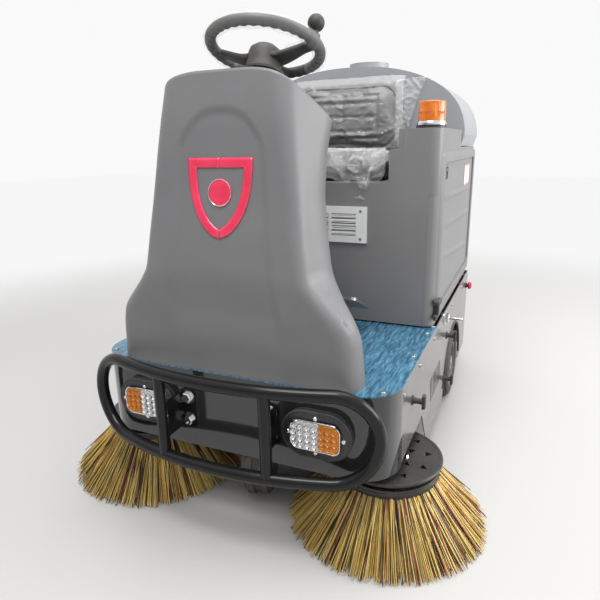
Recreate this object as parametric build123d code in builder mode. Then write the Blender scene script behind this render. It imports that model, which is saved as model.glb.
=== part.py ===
# A small three-wheeled ride-on floor sweeper, in millimetres.
# +X is forward, +Y is the machine's left, +Z is up. The origin is on the floor, in the middle
# of the machine's length and width.
import os
from math import acos, cos, degrees, radians, sin, sqrt

from build123d import *

# ---------------------------------------------------------------- driving dimensions
half_length = 715.0          # from the middle of the machine to the bumper's foremost point
chassis_half_width = 400.0
deck_top = 400.0
panel_thickness = 3.0
panel_corner_radius = 95.0   # the front panel wraps the corners on this radius
front_panel_bottom = 192.0
side_panel_bottom = 72.0
brush_bay_top = 200.0        # the side panels are cut away to this height over the side brushes
sheet = 4.0                  # hopper, roller housing and brackets
moving_gap = 6.0             # between moving pieces and fixed ones
pin_clearance = 0.05         # radial clearance of a running shaft
slide_gap = 1.0              # under the hopper's lips, and between a lid and its seat
axle_radius = 10.0

front_wheel_radius = 125.0
front_wheel_width = 78.0
parked_steer = 20.0          # the front wheel is parked turned to the left by this angle
rear_wheel_radius = 125.0
rear_wheel_width = 66.0
rear_wheel_proud = 5.0       # the rear wheels stand this far out of the side panels
side_brush_radius = 250.0
brush_disc_radius = 134.0
brush_disc_top = 175.0
bristle_floor_gap = 2.0
roller_radius = 138.0

steering_radius = 132.0
steering_grip_radius = 13.0
wheel_tilt = 18.0            # the steering axis leans back by this angle
tube_radius = 15.0           # bumper tube
cowl_wall = 5.0
hood_wall = 6.0
tank_wall = 6.0

# ---------------------------------------------------------------- places that follow from them
chassis_front = half_length - 104            # outer face of the front panel
chassis_rear = 24 - half_length              # outer face of the rear panel
rail_outer = chassis_half_width - 85
rail_inner = rail_outer - 30
rail_top = deck_top - panel_thickness

front_wheel_x = chassis_front - 154
rear_wheel_x = chassis_rear + 251 + rear_wheel_radius
rear_wheel_outer_y = chassis_half_width + rear_wheel_proud
side_brush_x = chassis_front - 167
side_brush_y = chassis_half_width - 50
bay_foot_x = side_brush_x - side_brush_radius - 18
bay_rear_x = bay_foot_x + 91
roller_x = bay_foot_x - roller_radius - 73
roller_half_length = rail_inner - 23
hopper_front = rear_wheel_x - rear_wheel_radius - 30
hopper_half_width = rail_inner - 23
hopper_top = 300.0
hopper_bottom = 88.0
rail_bottom = hopper_top + moving_gap + 1

hood_front = chassis_front - 491
hood_rear = chassis_rear + 2
hood_half_width = chassis_half_width - 8
hood_bottom = deck_top + 5
shoulder_top = deck_top + 555
seat_well_floor = deck_top + 412
seat_well_rear = hood_front - 412
seat_well_half = 252.0
hood_rear_top = deck_top + 502
tank_front = seat_well_rear - 4
tank_half_width = chassis_half_width - 2
tank_top = deck_top + 772

steering_hub_x = chassis_front - 262
steering_hub_z = deck_top + 741
bumper_end_x = chassis_front + 46            # tube centre at the ends of the loop
bumper_half_width = chassis_half_width - 3
bumper_top = deck_top + 30
bumper_bottom = front_panel_bottom - 4
bumper_bar_y = 137.0

os.makedirs("parts", exist_ok=True)


def save(part, label):
    part.label = label
    export_step(part, f"parts/{label}.step")


def block(x0, x1, y0, y1, z0, z1, mode=Mode.ADD):
    """A box between two corners, added to the part being built."""
    centre = ((x0 + x1) / 2, (y0 + y1) / 2, (z0 + z1) / 2)
    with Locations(centre):
        Box(abs(x1 - x0), abs(y1 - y0), abs(z1 - z0), mode=mode)


def side_plane(y):
    """A plane across the machine at y, whose sketch axes are the machine's X and Z."""
    return Plane(origin=(0, y, 0), x_dir=(1, 0, 0), z_dir=(0, -1, 0))


def front_plane(x):
    """A plane at x, whose sketch axes are the machine's Y and Z."""
    return Plane(origin=(x, 0, 0), x_dir=(0, 1, 0), z_dir=(1, 0, 0))


# ---------------------------------------------------------------- chassis frame
fork_shaft_radius = 20.0
fork_crown_bottom = 2 * front_wheel_radius + moving_gap + 2
fork_crown_top = fork_crown_bottom + 16
fork_collar_bottom = fork_crown_top + 22
fork_plate_z = rail_top - 57

battery_rear = chassis_rear + 131
battery_front = hood_front - 60
tie_places = (chassis_front - 116, bay_rear_x - 37, roller_x - 45, hopper_front - 30, chassis_rear + 41)

with BuildPart() as chassis_frame:
    for side in (-1, 1):
        block(chassis_rear + panel_thickness, chassis_front - 12,
              side * rail_inner, side * rail_outer, rail_bottom, rail_top)
        # ties from the rail out to the side panel
        for tie_x in tie_places:
            block(tie_x - 15, tie_x + 15, side * rail_outer,
                  side * (chassis_half_width - panel_thickness), rail_top - 50, rail_top - 10)
        # axle hanger
        block(rear_wheel_x - 40, rear_wheel_x + 40, side * rail_inner, side * rail_outer,
              rear_wheel_radius - 30, rail_bottom)
    block(chassis_front - 45, chassis_front - panel_thickness, -rail_inner, rail_inner,
          rail_top - 40, rail_top)
    for cross_x in (bay_rear_x - 27, hood_front - 30, chassis_rear + 91):
        block(cross_x - 15, cross_x + 15, -rail_inner, rail_inner, rail_top - 40, rail_top)
    # plate and collar that carry the front fork
    block(front_wheel_x - 60, front_wheel_x + 60, -rail_inner, rail_inner,
          fork_plate_z, fork_plate_z + 12)
    with BuildSketch(Plane.XY.offset(fork_collar_bottom)):
        with Locations((front_wheel_x, 0)):
            Circle(fork_shaft_radius + 14)
    extrude(amount=rail_top - 12 - fork_collar_bottom)
    with Locations((front_wheel_x, 0, 0)):
        Cylinder(fork_shaft_radius + pin_clearance, 2 * deck_top, mode=Mode.SUBTRACT)
save(chassis_frame.part, "chassis_frame")

# angle runners that carry the hopper's lips
runner_top = hopper_top - sheet - slide_gap
with BuildPart() as hopper_runners:
    for side in (-1, 1):
        block(chassis_rear + panel_thickness, hopper_front, side * (hopper_half_width + 6),
              side * rail_inner, runner_top - 6, runner_top)
        block(chassis_rear + panel_thickness, hopper_front, side * (hopper_half_width + 17),
              side * rail_inner, runner_top, rail_bottom)
        block(chassis_rear + panel_thickness, battery_rear, side * (rail_inner - 6),
              side * rail_inner, runner_top - 6, rail_bottom + 40)
save(hopper_runners.part, "hopper_runners")

# ---------------------------------------------------------------- sheet panels
wrap_end = chassis_front - panel_corner_radius

with BuildPart() as front_panel:
    for inset, mode in ((0, Mode.ADD), (panel_thickness, Mode.SUBTRACT)):
        with BuildSketch(Plane.XY.offset(front_panel_bottom)):
            with BuildLine():
                FilletPolyline(
                    (wrap_end, inset - chassis_half_width),
                    (chassis_front - inset, inset - chassis_half_width),
                    (chassis_front - inset, chassis_half_width - inset),
                    (wrap_end, chassis_half_width - inset),
                    radius=panel_corner_radius - inset - 0.01,
                )
                Line((wrap_end, chassis_half_width - inset), (wrap_end, inset - chassis_half_width))
            make_face()
        extrude(amount=rail_top - front_panel_bottom, mode=mode)
save(front_panel.part, "front_panel")

arch_x = rear_wheel_x
arch_z = rear_wheel_radius - 35
arch_radius = rear_wheel_radius + 65
slot_count = 8
slot_pitch = 24.0
slot_front_x = bay_foot_x - 36
slot_z = 215.0


def side_panel(side):
    outer = side * chassis_half_width
    with BuildPart() as panel:
        with BuildSketch(side_plane(outer)):
            with BuildLine():
                Polyline(
                    (wrap_end, rail_top), (wrap_end, brush_bay_top), (bay_rear_x, brush_bay_top),
                    (bay_foot_x, side_panel_bottom), (chassis_rear, side_panel_bottom),
                    (chassis_rear, rail_top), close=True,
                )
            make_face()
            with Locations((arch_x, arch_z)):
                Circle(arch_radius, mode=Mode.SUBTRACT)
                Rectangle(2 * arch_radius, 2 * arch_z, align=(Align.CENTER, Align.MAX),
                          mode=Mode.SUBTRACT)
            # slanted cooling slots
            for index in range(slot_count):
                with Locations((slot_front_x - slot_pitch * index, slot_z)):
                    SlotOverall(88, 9, rotation=68, mode=Mode.SUBTRACT)
        extrude(amount=side * panel_thickness)
    return panel.part


save(side_panel(1), "side_panel_left")
save(side_panel(-1), "side_panel_right")

eye_radius = 6.0
eye_x = 11.0 - half_length
eye_y = chassis_half_width - 60
eye_z = 130.0
eye_thickness = 8.0

with BuildPart() as rear_panel:
    inner_y = chassis_half_width - panel_thickness
    block(chassis_rear, chassis_rear + panel_thickness, -inner_y, inner_y,
          side_panel_bottom, rail_top)
    block(chassis_rear - 1, chassis_rear + panel_thickness + 1,
          -hopper_half_width - moving_gap - 11, hopper_half_width + moving_gap + 11,
          side_panel_bottom - 1, hopper_top + moving_gap, mode=Mode.SUBTRACT)
    for side in (-1, 1):
        with BuildSketch(side_plane(side * eye_y)):
            with Locations((eye_x, eye_z)):
                Circle(eye_radius + 5)
            with Locations(((eye_x + chassis_rear) / 2, eye_z)):
                Rectangle(chassis_rear - eye_x, 2 * eye_radius + 10)
            with Locations((eye_x, eye_z)):
                Circle(eye_radius, mode=Mode.SUBTRACT)
        extrude(amount=-side * eye_thickness)
save(rear_panel.part, "rear_panel")

deck_rear = hood_front - 20.0
with BuildPart() as deck_plate:
    with BuildSketch(Plane.XY.offset(rail_top)):
        with BuildLine():
            FilletPolyline(
                (deck_rear, -chassis_half_width),
                (chassis_front, -chassis_half_width),
                (chassis_front, chassis_half_width),
                (deck_rear, chassis_half_width),
                radius=panel_corner_radius,
            )
            Line((deck_rear, chassis_half_width), (deck_rear, -chassis_half_width))
        make_face()
    extrude(amount=panel_thickness)
save(deck_plate.part, "deck_plate")

# ---------------------------------------------------------------- steering axis
steering_axis = Vector(-sin(radians(wheel_tilt)), 0, cos(radians(wheel_tilt)))
steering_hub = Vector(steering_hub_x, 0, steering_hub_z)
steering_plane = Plane(
    origin=steering_hub,
    x_dir=(cos(radians(wheel_tilt)), 0, sin(radians(wheel_tilt))),
    z_dir=steering_axis,
)
column_radius = 36.0
column_top = -52.0           # below the wheel's plane, along the steering axis
column_length = 172.0
shaft_radius = 12.0

# ---------------------------------------------------------------- front cowl
# Each row: height, front X, front half width, side X, side half width, rear X, rear half width
# Heights are above the deck, and X is measured from the front panel's face.
cowl_rows = (
    (0, -2, 302, -51, 327, -181, 270),
    (100, 0, 296, -49, 318, -183, 266),
    (150, 5, 282, -47, 305, -187, 258),
    (240, 13, 205, -91, 235, -206, 195),
    (320, 5, 193, -103, 220, -221, 172),
    (410, -10, 182, -111, 208, -239, 160),
    (500, -20, 168, -131, 208, -261, 152),
    (570, -29, 157, -156, 213, -276, 150),
    (690, -51, 140, -171, 205, -291, 145),
)
cowl_nose_top = deck_top + 672
cowl_dash_front_x = chassis_front - 51
cowl_dash_rear_x = chassis_front + cowl_rows[-1][5]
cowl_dash_rear_z = deck_top + 562


def cowl_block(inset):
    """The cowl's outside, or with an inset its inside, as one closed solid."""
    with BuildPart() as body:
        for height, front_x, front_y, side_x, side_y, rear_x, rear_y in cowl_rows:
            base = deck_top + height - (1 if inset and height == 0 else 0)
            front = chassis_front + front_x - inset
            middle = chassis_front + side_x
            rear = chassis_front + rear_x + inset
            with BuildSketch(Plane.XY.offset(base)):
                with BuildLine():
                    Polyline(
                        (front, inset / 2 - front_y), (front, front_y - inset / 2),
                        (middle, side_y - inset), (rear, rear_y - inset),
                        (rear, inset - rear_y), (middle, inset - side_y), close=True,
                    )
                make_face()
        loft(ruled=True)
        # the dash slopes down towards the driver, below an arched nose
        with BuildSketch(side_plane(-chassis_half_width)):
            with BuildLine():
                Polyline(
                    (cowl_dash_front_x + 60, cowl_nose_top - inset - 20),
                    (cowl_dash_front_x, cowl_nose_top - inset),
                    (cowl_dash_rear_x - 20, cowl_dash_rear_z - inset - 12),
                    (cowl_dash_rear_x - 20, cowl_nose_top + 100),
                    (cowl_dash_front_x + 60, cowl_nose_top + 100), close=True,
                )
            make_face()
        extrude(amount=-2 * chassis_half_width, mode=Mode.SUBTRACT)
    return body.part


with BuildPart() as front_cowl:
    add(cowl_block(0))
    add(cowl_block(cowl_wall), mode=Mode.SUBTRACT)
    with BuildSketch(steering_plane):
        Circle(column_radius + 8)
    extrude(amount=-column_length - 80, mode=Mode.SUBTRACT)
save(front_cowl.part, "front_cowl")

# ---------------------------------------------------------------- dash and steering
with BuildPart() as steering_column:
    with BuildSketch(steering_plane.offset(column_top)):
        Circle(column_radius)
    extrude(amount=-column_length, taper=-2)
    with BuildSketch(steering_plane.offset(column_top)):
        Circle(shaft_radius + pin_clearance)
    extrude(amount=-column_length, mode=Mode.SUBTRACT)
save(steering_column.part, "steering_column")

shroud_radius = 51.0         # the hub's skirt hangs round the fixed column
shroud_drop = 64.0
hub_radius = 40.0
spoke_angles = (90, 180, 270)
spoke_half_width = 20.0
knob_angle = 84.0
knob_height = 42.0
knob_radius = 20.0


def steering_out(angle):
    """The direction from the hub towards the rim at an angle round the wheel."""
    turn = radians(angle)
    return steering_plane.x_dir * cos(turn) + steering_plane.y_dir * sin(turn)


def steering_radial(angle):
    """A plane through the steering axis, with X along the radius and Y along the axis."""
    radial = steering_out(angle)
    return Plane(origin=steering_hub, x_dir=radial, z_dir=radial.cross(steering_axis))


with BuildPart() as steering_wheel:
    with Locations(Location(steering_plane)):
        Torus(steering_radius, steering_grip_radius)
    for angle in spoke_angles:
        with BuildSketch(steering_radial(angle)):
            with BuildLine():
                Polyline((hub_radius - 8, -12), (hub_radius - 8, -32), (steering_radius, -6),
                         (steering_radius, 4), close=True)
            make_face()
        extrude(amount=spoke_half_width, both=True)
    # domed hub with a skirt that hangs round the column
    with BuildSketch(steering_radial(0)):
        with BuildLine():
            Polyline(
                (0, 6), (hub_radius - 10, 6), (hub_radius, -2), (hub_radius + 5, -30),
                (shroud_radius, 18 - shroud_drop), (shroud_radius, -shroud_drop),
                (column_radius + moving_gap + 1, -shroud_drop),
                (column_radius + moving_gap + 1, column_top + moving_gap + 2),
                (0, column_top + moving_gap + 2), close=True,
            )
        make_face()
    revolve(axis=Axis(steering_hub, steering_axis))
    with BuildSketch(steering_plane.offset(column_top + moving_gap + 4)):
        Circle(shaft_radius)
    extrude(amount=-column_length)
    # spinner knob on a short stem
    knob_place = (steering_radius * cos(radians(knob_angle)),
                  steering_radius * sin(radians(knob_angle)))
    with BuildSketch(steering_plane):
        with Locations(knob_place):
            Circle(8)
    extrude(amount=knob_height)
    with Locations(steering_plane.from_local_coords((*knob_place, knob_height))):
        Sphere(knob_radius)
save(steering_wheel.part, "steering_wheel")

dash_thickness = 4.0
dash_run = cowl_dash_front_x - cowl_dash_rear_x + 20
dash_rise = cowl_nose_top - cowl_dash_rear_z + 12
dash_plane = Plane(origin=(cowl_dash_front_x, 0, cowl_nose_top),
                   x_dir=(dash_run, 0, dash_rise), z_dir=(-dash_rise, 0, dash_run))
with BuildPart() as dash_panel:
    with BuildSketch(dash_plane):
        with Locations((-70, 0)):
            RectangleRounded(84, 210, 18)
    extrude(amount=dash_thickness)
save(dash_panel.part, "dash_panel")

# ---------------------------------------------------------------- wheels
fork_plane = Plane(origin=(front_wheel_x, 0, front_wheel_radius),
                   x_dir=(cos(radians(parked_steer)), sin(radians(parked_steer)), 0),
                   z_dir=(-sin(radians(parked_steer)), cos(radians(parked_steer)), 0))
fork_floor = Plane(origin=(front_wheel_x, 0, 0),
                   x_dir=(cos(radians(parked_steer)), sin(radians(parked_steer)), 0),
                   z_dir=(0, 0, 1))
fork_leg_y = front_wheel_width / 2 + moving_gap + 2
fork_leg_thickness = 10.0
motor_radius = 48.0
motor_length = 76.0

with BuildPart() as front_fork:
    for side in (-1, 1):
        with BuildSketch(fork_plane.offset(side * fork_leg_y)):
            SlotCenterToCenter(0.1, 56)
            with Locations((0, -(fork_crown_top - front_wheel_radius) / 2)):
                Rectangle(56, fork_crown_top - front_wheel_radius)
        extrude(amount=side * fork_leg_thickness)
    crown_half = fork_leg_y + fork_leg_thickness
    with BuildSketch(fork_floor.offset(fork_crown_bottom)):
        Rectangle(90, 2 * crown_half)
        Circle(56)
    extrude(amount=fork_crown_top - fork_crown_bottom)
    with BuildSketch(fork_floor.offset(fork_crown_top)):
        Circle(fork_shaft_radius)
    extrude(amount=rail_top - 20 - fork_crown_top)
    # wheel axle and drive motor
    with BuildSketch(fork_plane.offset(-fork_leg_y)):
        Circle(axle_radius)
    extrude(amount=2 * fork_leg_y)
    with BuildSketch(fork_plane.offset(fork_leg_y + fork_leg_thickness)):
        with Locations((0, -40)):
            Circle(motor_radius)
    extrude(amount=motor_length)
save(front_fork.part, "front_fork")


def ring(plane, outer, inner, width, crown):
    """A tyre: a ring of the given width centred on the plane, with rounded shoulders."""
    with BuildPart() as tyre:
        with BuildSketch(plane.offset(-width / 2)):
            Circle(outer)
            Circle(inner, mode=Mode.SUBTRACT)
        extrude(amount=width)
        fillet(tyre.edges().filter_by(GeomType.CIRCLE)
               .filter_by(lambda edge: edge.radius > (outer + inner) / 2), crown)
    return tyre.part


def rim(plane, outer, width, bore):
    """A dished disc wheel with a hub tube that runs on its axle."""
    with BuildPart() as wheel:
        with BuildSketch(plane.offset(-width / 2)):
            Circle(outer)
            Circle(outer - 8, mode=Mode.SUBTRACT)
        extrude(amount=width)
        with BuildSketch(plane.offset(-6)):
            Circle(outer)
        extrude(amount=12)
        with BuildSketch(plane.offset(-width / 2)):
            Circle(bore + 16)
        extrude(amount=width)
        with BuildSketch(plane.offset(-width)):
            Circle(bore)
            with PolarLocations((outer + bore + 8) / 2, 5):
                Circle((outer - bore - 24) / 4)
        extrude(amount=2 * width, mode=Mode.SUBTRACT)
    return wheel.part


front_rim_radius = 82.0
save(ring(fork_plane, front_wheel_radius, front_rim_radius, front_wheel_width, 14), "front_tyre")
save(rim(fork_plane, front_rim_radius, front_wheel_width - 10, axle_radius + pin_clearance),
     "front_rim")

rear_rim_radius = 82.0
rear_wheel_y = rear_wheel_outer_y - rear_wheel_width / 2
for side, name in ((1, "left"), (-1, "right")):
    wheel_plane = Plane(origin=(rear_wheel_x, side * rear_wheel_y, rear_wheel_radius),
                        x_dir=(1, 0, 0), z_dir=(0, side, 0))
    save(ring(wheel_plane, rear_wheel_radius, rear_rim_radius, rear_wheel_width, 12),
         f"rear_tyre_{name}")
    save(rim(wheel_plane, rear_rim_radius, rear_wheel_width - 12, axle_radius + pin_clearance),
         f"rear_rim_{name}")

with BuildPart() as rear_axle:
    with BuildSketch(side_plane(0)):
        with Locations((rear_wheel_x, rear_wheel_radius)):
            Circle(22)
    extrude(amount=rail_inner, both=True)
    for side in (-1, 1):
        stub_start = rail_outer
        with BuildSketch(side_plane(side * rail_outer)):
            with Locations((rear_wheel_x, rear_wheel_radius)):
                Circle(axle_radius)
        extrude(amount=-side * (rear_wheel_outer_y - rail_outer - 4))
save(rear_axle.part, "rear_axle")

# ---------------------------------------------------------------- side brushes
disc_thickness = 8.0
disc_drop = 45.0             # the bristle ring hangs this far below the disc's top
motor_top = rail_top - 67
brush_motor_radius = side_brush_y - rail_outer - 1
brush_shaft_radius = 12.0
bristle_top = brush_disc_top - disc_drop + 6


def brush_arm(side):
    """The arm, gear motor and shaft that carry one side brush."""
    with BuildPart() as arm:
        with BuildSketch(Plane.XY.offset(brush_disc_top + 14)):
            with Locations((side_brush_x, side * side_brush_y)):
                Circle(brush_motor_radius)
        extrude(amount=motor_top - brush_disc_top - 14)
        with BuildSketch(Plane.XY.offset(brush_disc_top - disc_thickness)):
            with Locations((side_brush_x, side * side_brush_y)):
                Circle(brush_shaft_radius)
        extrude(amount=disc_thickness + 14)
        # bracket from the motor to the rail
        block(side_brush_x - 30, side_brush_x + 30, side * rail_outer, side * side_brush_y,
              motor_top - 12, motor_top)
    return arm.part


def brush_disc(side):
    """The drive disc with its ring of bristle sockets below, pierced by triangles."""
    centre = (side_brush_x, side * side_brush_y)
    with BuildPart() as disc:
        with BuildSketch(Plane.XY.offset(brush_disc_top - disc_thickness)):
            with Locations(centre):
                Circle(brush_disc_radius)
                with PolarLocations(brush_disc_radius * 0.74, 10):
                    RegularPolygon(11, 3, mode=Mode.SUBTRACT)
                with PolarLocations(brush_disc_radius * 0.46, 6):
                    RegularPolygon(11, 3, mode=Mode.SUBTRACT)
        extrude(amount=disc_thickness)
        with BuildSketch(Plane.XY.offset(brush_disc_top - disc_drop)):
            with Locations(centre):
                Circle(brush_disc_radius - 7)
                Circle(brush_disc_radius - 47, mode=Mode.SUBTRACT)
        extrude(amount=disc_drop - disc_thickness - 14)
        for count, place in ((6, brush_disc_radius - 27),):
            with BuildSketch(Plane.XY.offset(brush_disc_top - disc_drop + 8)):
                with Locations(centre):
                    with PolarLocations(place, count):
                        Circle(11)
            extrude(amount=disc_drop - 8 - disc_thickness)
        with BuildSketch(Plane.XY.offset(brush_disc_top - disc_thickness - 1)):
            with Locations(centre):
                Circle(brush_shaft_radius + pin_clearance)
        extrude(amount=disc_thickness + 2, mode=Mode.SUBTRACT)
    return disc.part


def brush_bristles(side):
    """The flared skirt of bristles, as one ring that narrows to nothing at the floor."""
    inner_top = brush_disc_radius - 47
    outer_top = brush_disc_radius - 8
    with BuildPart() as bristles:
        with BuildSketch(side_plane(side * side_brush_y)):
            with BuildLine():
                Polyline(
                    (side_brush_x + inner_top, brush_disc_top - disc_drop),
                    (side_brush_x + outer_top, brush_disc_top - disc_drop),
                    (side_brush_x + side_brush_radius * 0.82, 52),
                    (side_brush_x + side_brush_radius, bristle_floor_gap),
                    (side_brush_x + side_brush_radius * 0.66, bristle_floor_gap), close=True,
                )
            make_face()
        revolve(axis=Axis((side_brush_x, side * side_brush_y, 0), (0, 0, 1)))
    return bristles.part


for side, name in ((1, "left"), (-1, "right")):
    save(brush_arm(side), f"brush_arm_{name}")
    save(brush_disc(side), f"brush_disc_{name}")
    save(brush_bristles(side), f"brush_bristles_{name}")

# ---------------------------------------------------------------- main roller brush
roller_z = roller_radius + bristle_floor_gap
roller_core_radius = 60.0
housing_half = roller_half_length + moving_gap + 2

with BuildPart() as roller_core:
    with BuildSketch(side_plane(0)):
        with Locations((roller_x, roller_z)):
            Circle(roller_core_radius)
    extrude(amount=roller_half_length, both=True)
    with BuildSketch(side_plane(0)):
        with Locations((roller_x, roller_z)):
            Circle(axle_radius)
    extrude(amount=housing_half + sheet, both=True)
save(roller_core.part, "roller_core")

with BuildPart() as roller_bristles:
    with BuildSketch(side_plane(0)):
        with Locations((roller_x, roller_z)):
            Circle(roller_radius)
            Circle(roller_core_radius, mode=Mode.SUBTRACT)
    extrude(amount=roller_half_length, both=True)
save(roller_bristles.part, "roller_bristles")

housing_radius = roller_radius + moving_gap + 6
housing_foot = 70.0
with BuildPart() as roller_housing:
    with BuildSketch(side_plane(0)):
        with Locations((roller_x, roller_z)):
            Circle(housing_radius + sheet)
        with Locations((roller_x, housing_foot)):
            Rectangle(2 * (housing_radius + sheet), roller_z - housing_foot,
                      align=(Align.CENTER, Align.MIN))
        with Locations((roller_x, roller_z)):
            Circle(housing_radius, mode=Mode.SUBTRACT)
        with Locations((roller_x, roller_z)):
            Rectangle(2 * housing_radius, roller_z, align=(Align.CENTER, Align.MAX),
                      mode=Mode.SUBTRACT)
        with Locations((roller_x, housing_foot)):
            Rectangle(4 * housing_radius, 2 * housing_radius, align=(Align.CENTER, Align.MAX),
                      mode=Mode.SUBTRACT)
    extrude(amount=housing_half, both=True)
    for side in (-1, 1):
        with BuildSketch(side_plane(side * housing_half)):
            with Locations((roller_x, roller_z)):
                Circle(housing_radius + sheet)
            with Locations((roller_x, housing_foot)):
                Rectangle(2 * (housing_radius + sheet), roller_z - housing_foot,
                          align=(Align.CENTER, Align.MIN))
            with Locations((roller_x, housing_foot)):
                Rectangle(4 * housing_radius, 2 * housing_radius,
                          align=(Align.CENTER, Align.MAX), mode=Mode.SUBTRACT)
            with Locations((roller_x, roller_z)):
                Circle(axle_radius + pin_clearance, mode=Mode.SUBTRACT)
        extrude(amount=-side * sheet)
        # brackets up to the rails
        block(roller_x - 30, roller_x + 30, side * housing_half, side * rail_inner,
              roller_z + 110, roller_z + 130)
        block(roller_x - 30, roller_x + 30, side * (rail_inner - 8), side * rail_inner,
              roller_z + 110, rail_bottom)
save(roller_housing.part, "roller_housing")

# ---------------------------------------------------------------- bumper
bend_radius = (bumper_top - bumper_bottom) / 2 - tube_radius
straight_half = bumper_half_width - tube_radius - bend_radius
bow = half_length - tube_radius - bumper_end_x
bow_radius = (straight_half ** 2 + bow ** 2) / (2 * bow)
bow_centre_x = half_length - tube_radius - bow_radius
bow_turn = degrees(acos((bow_radius - bow) / bow_radius))
loop_mid_z = (bumper_top + bumper_bottom) / 2


def bow_x(y):
    """X of the bumper's tube centre at a given Y on its bowed middle."""
    return bow_centre_x + sqrt(bow_radius ** 2 - y ** 2)


with BuildPart() as bumper_bar:
    for z in (bumper_bottom + tube_radius, bumper_top - tube_radius):
        start = Vector(bumper_end_x, -straight_half, z)
        heading = Vector(sin(radians(bow_turn)), cos(radians(bow_turn)), 0)
        with BuildSketch(Plane(origin=start, x_dir=(0, 0, 1), z_dir=heading)):
            Circle(tube_radius)
        revolve(axis=Axis((bow_centre_x, 0, z), (0, 0, 1)), revolution_arc=2 * bow_turn)
    for side in (-1, 1):
        end = Vector(bumper_end_x, side * straight_half, loop_mid_z)
        outward = Vector(-sin(radians(bow_turn)), side * cos(radians(bow_turn)), 0)
        with BuildSketch(Plane(origin=end + Vector(0, 0, bend_radius), x_dir=(0, 0, 1),
                               z_dir=outward)):
            Circle(tube_radius)
        revolve(axis=Axis(end, outward.cross(Vector(0, 0, 1))), revolution_arc=-180)
        # upright and its bracket to the front panel
        with BuildSketch(Plane.XY.offset(bumper_bottom + tube_radius)):
            with Locations((bow_x(bumper_bar_y), side * bumper_bar_y)):
                Circle(tube_radius * 0.93)
        extrude(amount=bumper_top - bumper_bottom - 2 * tube_radius)
        block(chassis_front, chassis_front + 6, side * 96, side * 128, 248, 345)
        block(chassis_front, bow_x(bumper_bar_y), side * (bumper_bar_y - 13),
              side * (bumper_bar_y - 7), 252, 341)
        block(chassis_front, chassis_front + 6, side * 120, side * bumper_bar_y, 252, 341)
save(bumper_bar.part, "bumper_bar")

# ---------------------------------------------------------------- lamps
lamp_depth = 26.0
lamp_z = deck_top - 102
lamp_y = chassis_half_width - 169
with BuildPart() as headlamp_bases:
    for side in (-1, 1):
        with BuildSketch(front_plane(chassis_front)):
            with Locations((side * lamp_y, lamp_z)):
                SlotOverall(166, 112)
        extrude(amount=lamp_depth - 6)
save(headlamp_bases.part, "headlamp_bases")

lamp_split_y = lamp_y + 10
with BuildPart() as lamp_lenses_clear:
    for side in (-1, 1):
        with BuildSketch(front_plane(chassis_front + lamp_depth - 6)):
            with Locations((side * (lamp_split_y - 33), lamp_z)):
                Rectangle(66, 66)
        extrude(amount=16)
save(lamp_lenses_clear.part, "lamp_lenses_clear")
with BuildPart() as lamp_lenses_amber:
    for side in (-1, 1):
        with BuildSketch(front_plane(chassis_front + lamp_depth - 6)):
            with Locations((side * (lamp_split_y + 23.5), lamp_z)):
                Rectangle(47, 66)
        extrude(amount=16)
save(lamp_lenses_amber.part, "lamp_lenses_amber")

with BuildPart() as rear_lamps:
    for side in (-1, 1):
        with BuildSketch(front_plane(chassis_rear)):
            with Locations((side * (chassis_half_width - 45), deck_top - 57)):
                Circle(20)
        extrude(amount=-14)
save(rear_lamps.part, "rear_lamps")

# ---------------------------------------------------------------- knobs, pegs, pedal
knob_places = (
    (wrap_end - 104, deck_top - 86),
    (arch_x + 177, deck_top - 105),
    (arch_x + 192, 144),
)
with BuildPart() as panel_knobs:
    for side in (-1, 1):
        for x, z in knob_places:
            for radius, reach in ((7, 32), (14, 0)):
                start = side * (chassis_half_width + (20 if radius == 14 else 0))
                with BuildSketch(side_plane(start)):
                    with Locations((x, z)):
                        Circle(radius)
                extrude(amount=-side * 12 if radius == 14 else -side * 20)
save(panel_knobs.part, "panel_knobs")

with BuildPart() as side_pegs:
    for side in (-1, 1):
        with BuildSketch(side_plane(side * chassis_half_width)):
            with Locations((hood_front - 190, deck_top - 22)):
                Circle(5)
        extrude(amount=-side * 56)
save(side_pegs.part, "side_pegs")

with BuildPart() as red_knobs:
    for side in (-1, 1):
        with BuildSketch(side_plane(side * chassis_half_width)):
            with Locations((chassis_rear + 45, deck_top - 57)):
                Circle(13)
        extrude(amount=-side * 24)
save(red_knobs.part, "red_knobs")

pedal_x = hood_front + 120
pedal_y = 175.0
with BuildPart() as foot_pedal:
    pedal_plane = Plane(origin=(pedal_x, pedal_y, deck_top + 90), x_dir=(150, 0, 69),
                        z_dir=(-69, 0, 150))
    with BuildSketch(pedal_plane):
        RectangleRounded(150, 86, 12)
    extrude(amount=8)
    with BuildSketch(side_plane(pedal_y + 5)):
        with BuildLine():
            Polyline((pedal_x - 25, deck_top), (pedal_x + 60, deck_top),
                     (pedal_x + 30, deck_top + 107), (pedal_x - 18, deck_top + 85), close=True)
        make_face()
    extrude(amount=10)
save(foot_pedal.part, "foot_pedal")

# ---------------------------------------------------------------- battery and hopper
# the batteries and the tray that hangs between the rails
with BuildPart() as battery_pack:
    block(battery_rear, battery_front, -rail_inner, rail_inner, rail_bottom, rail_bottom + 5)
    block(battery_rear + 5, battery_front - 10, 35 - rail_inner, rail_inner - 35,
          rail_bottom + 5, rail_bottom + 285)
save(battery_pack.part, "battery_pack")

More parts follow.
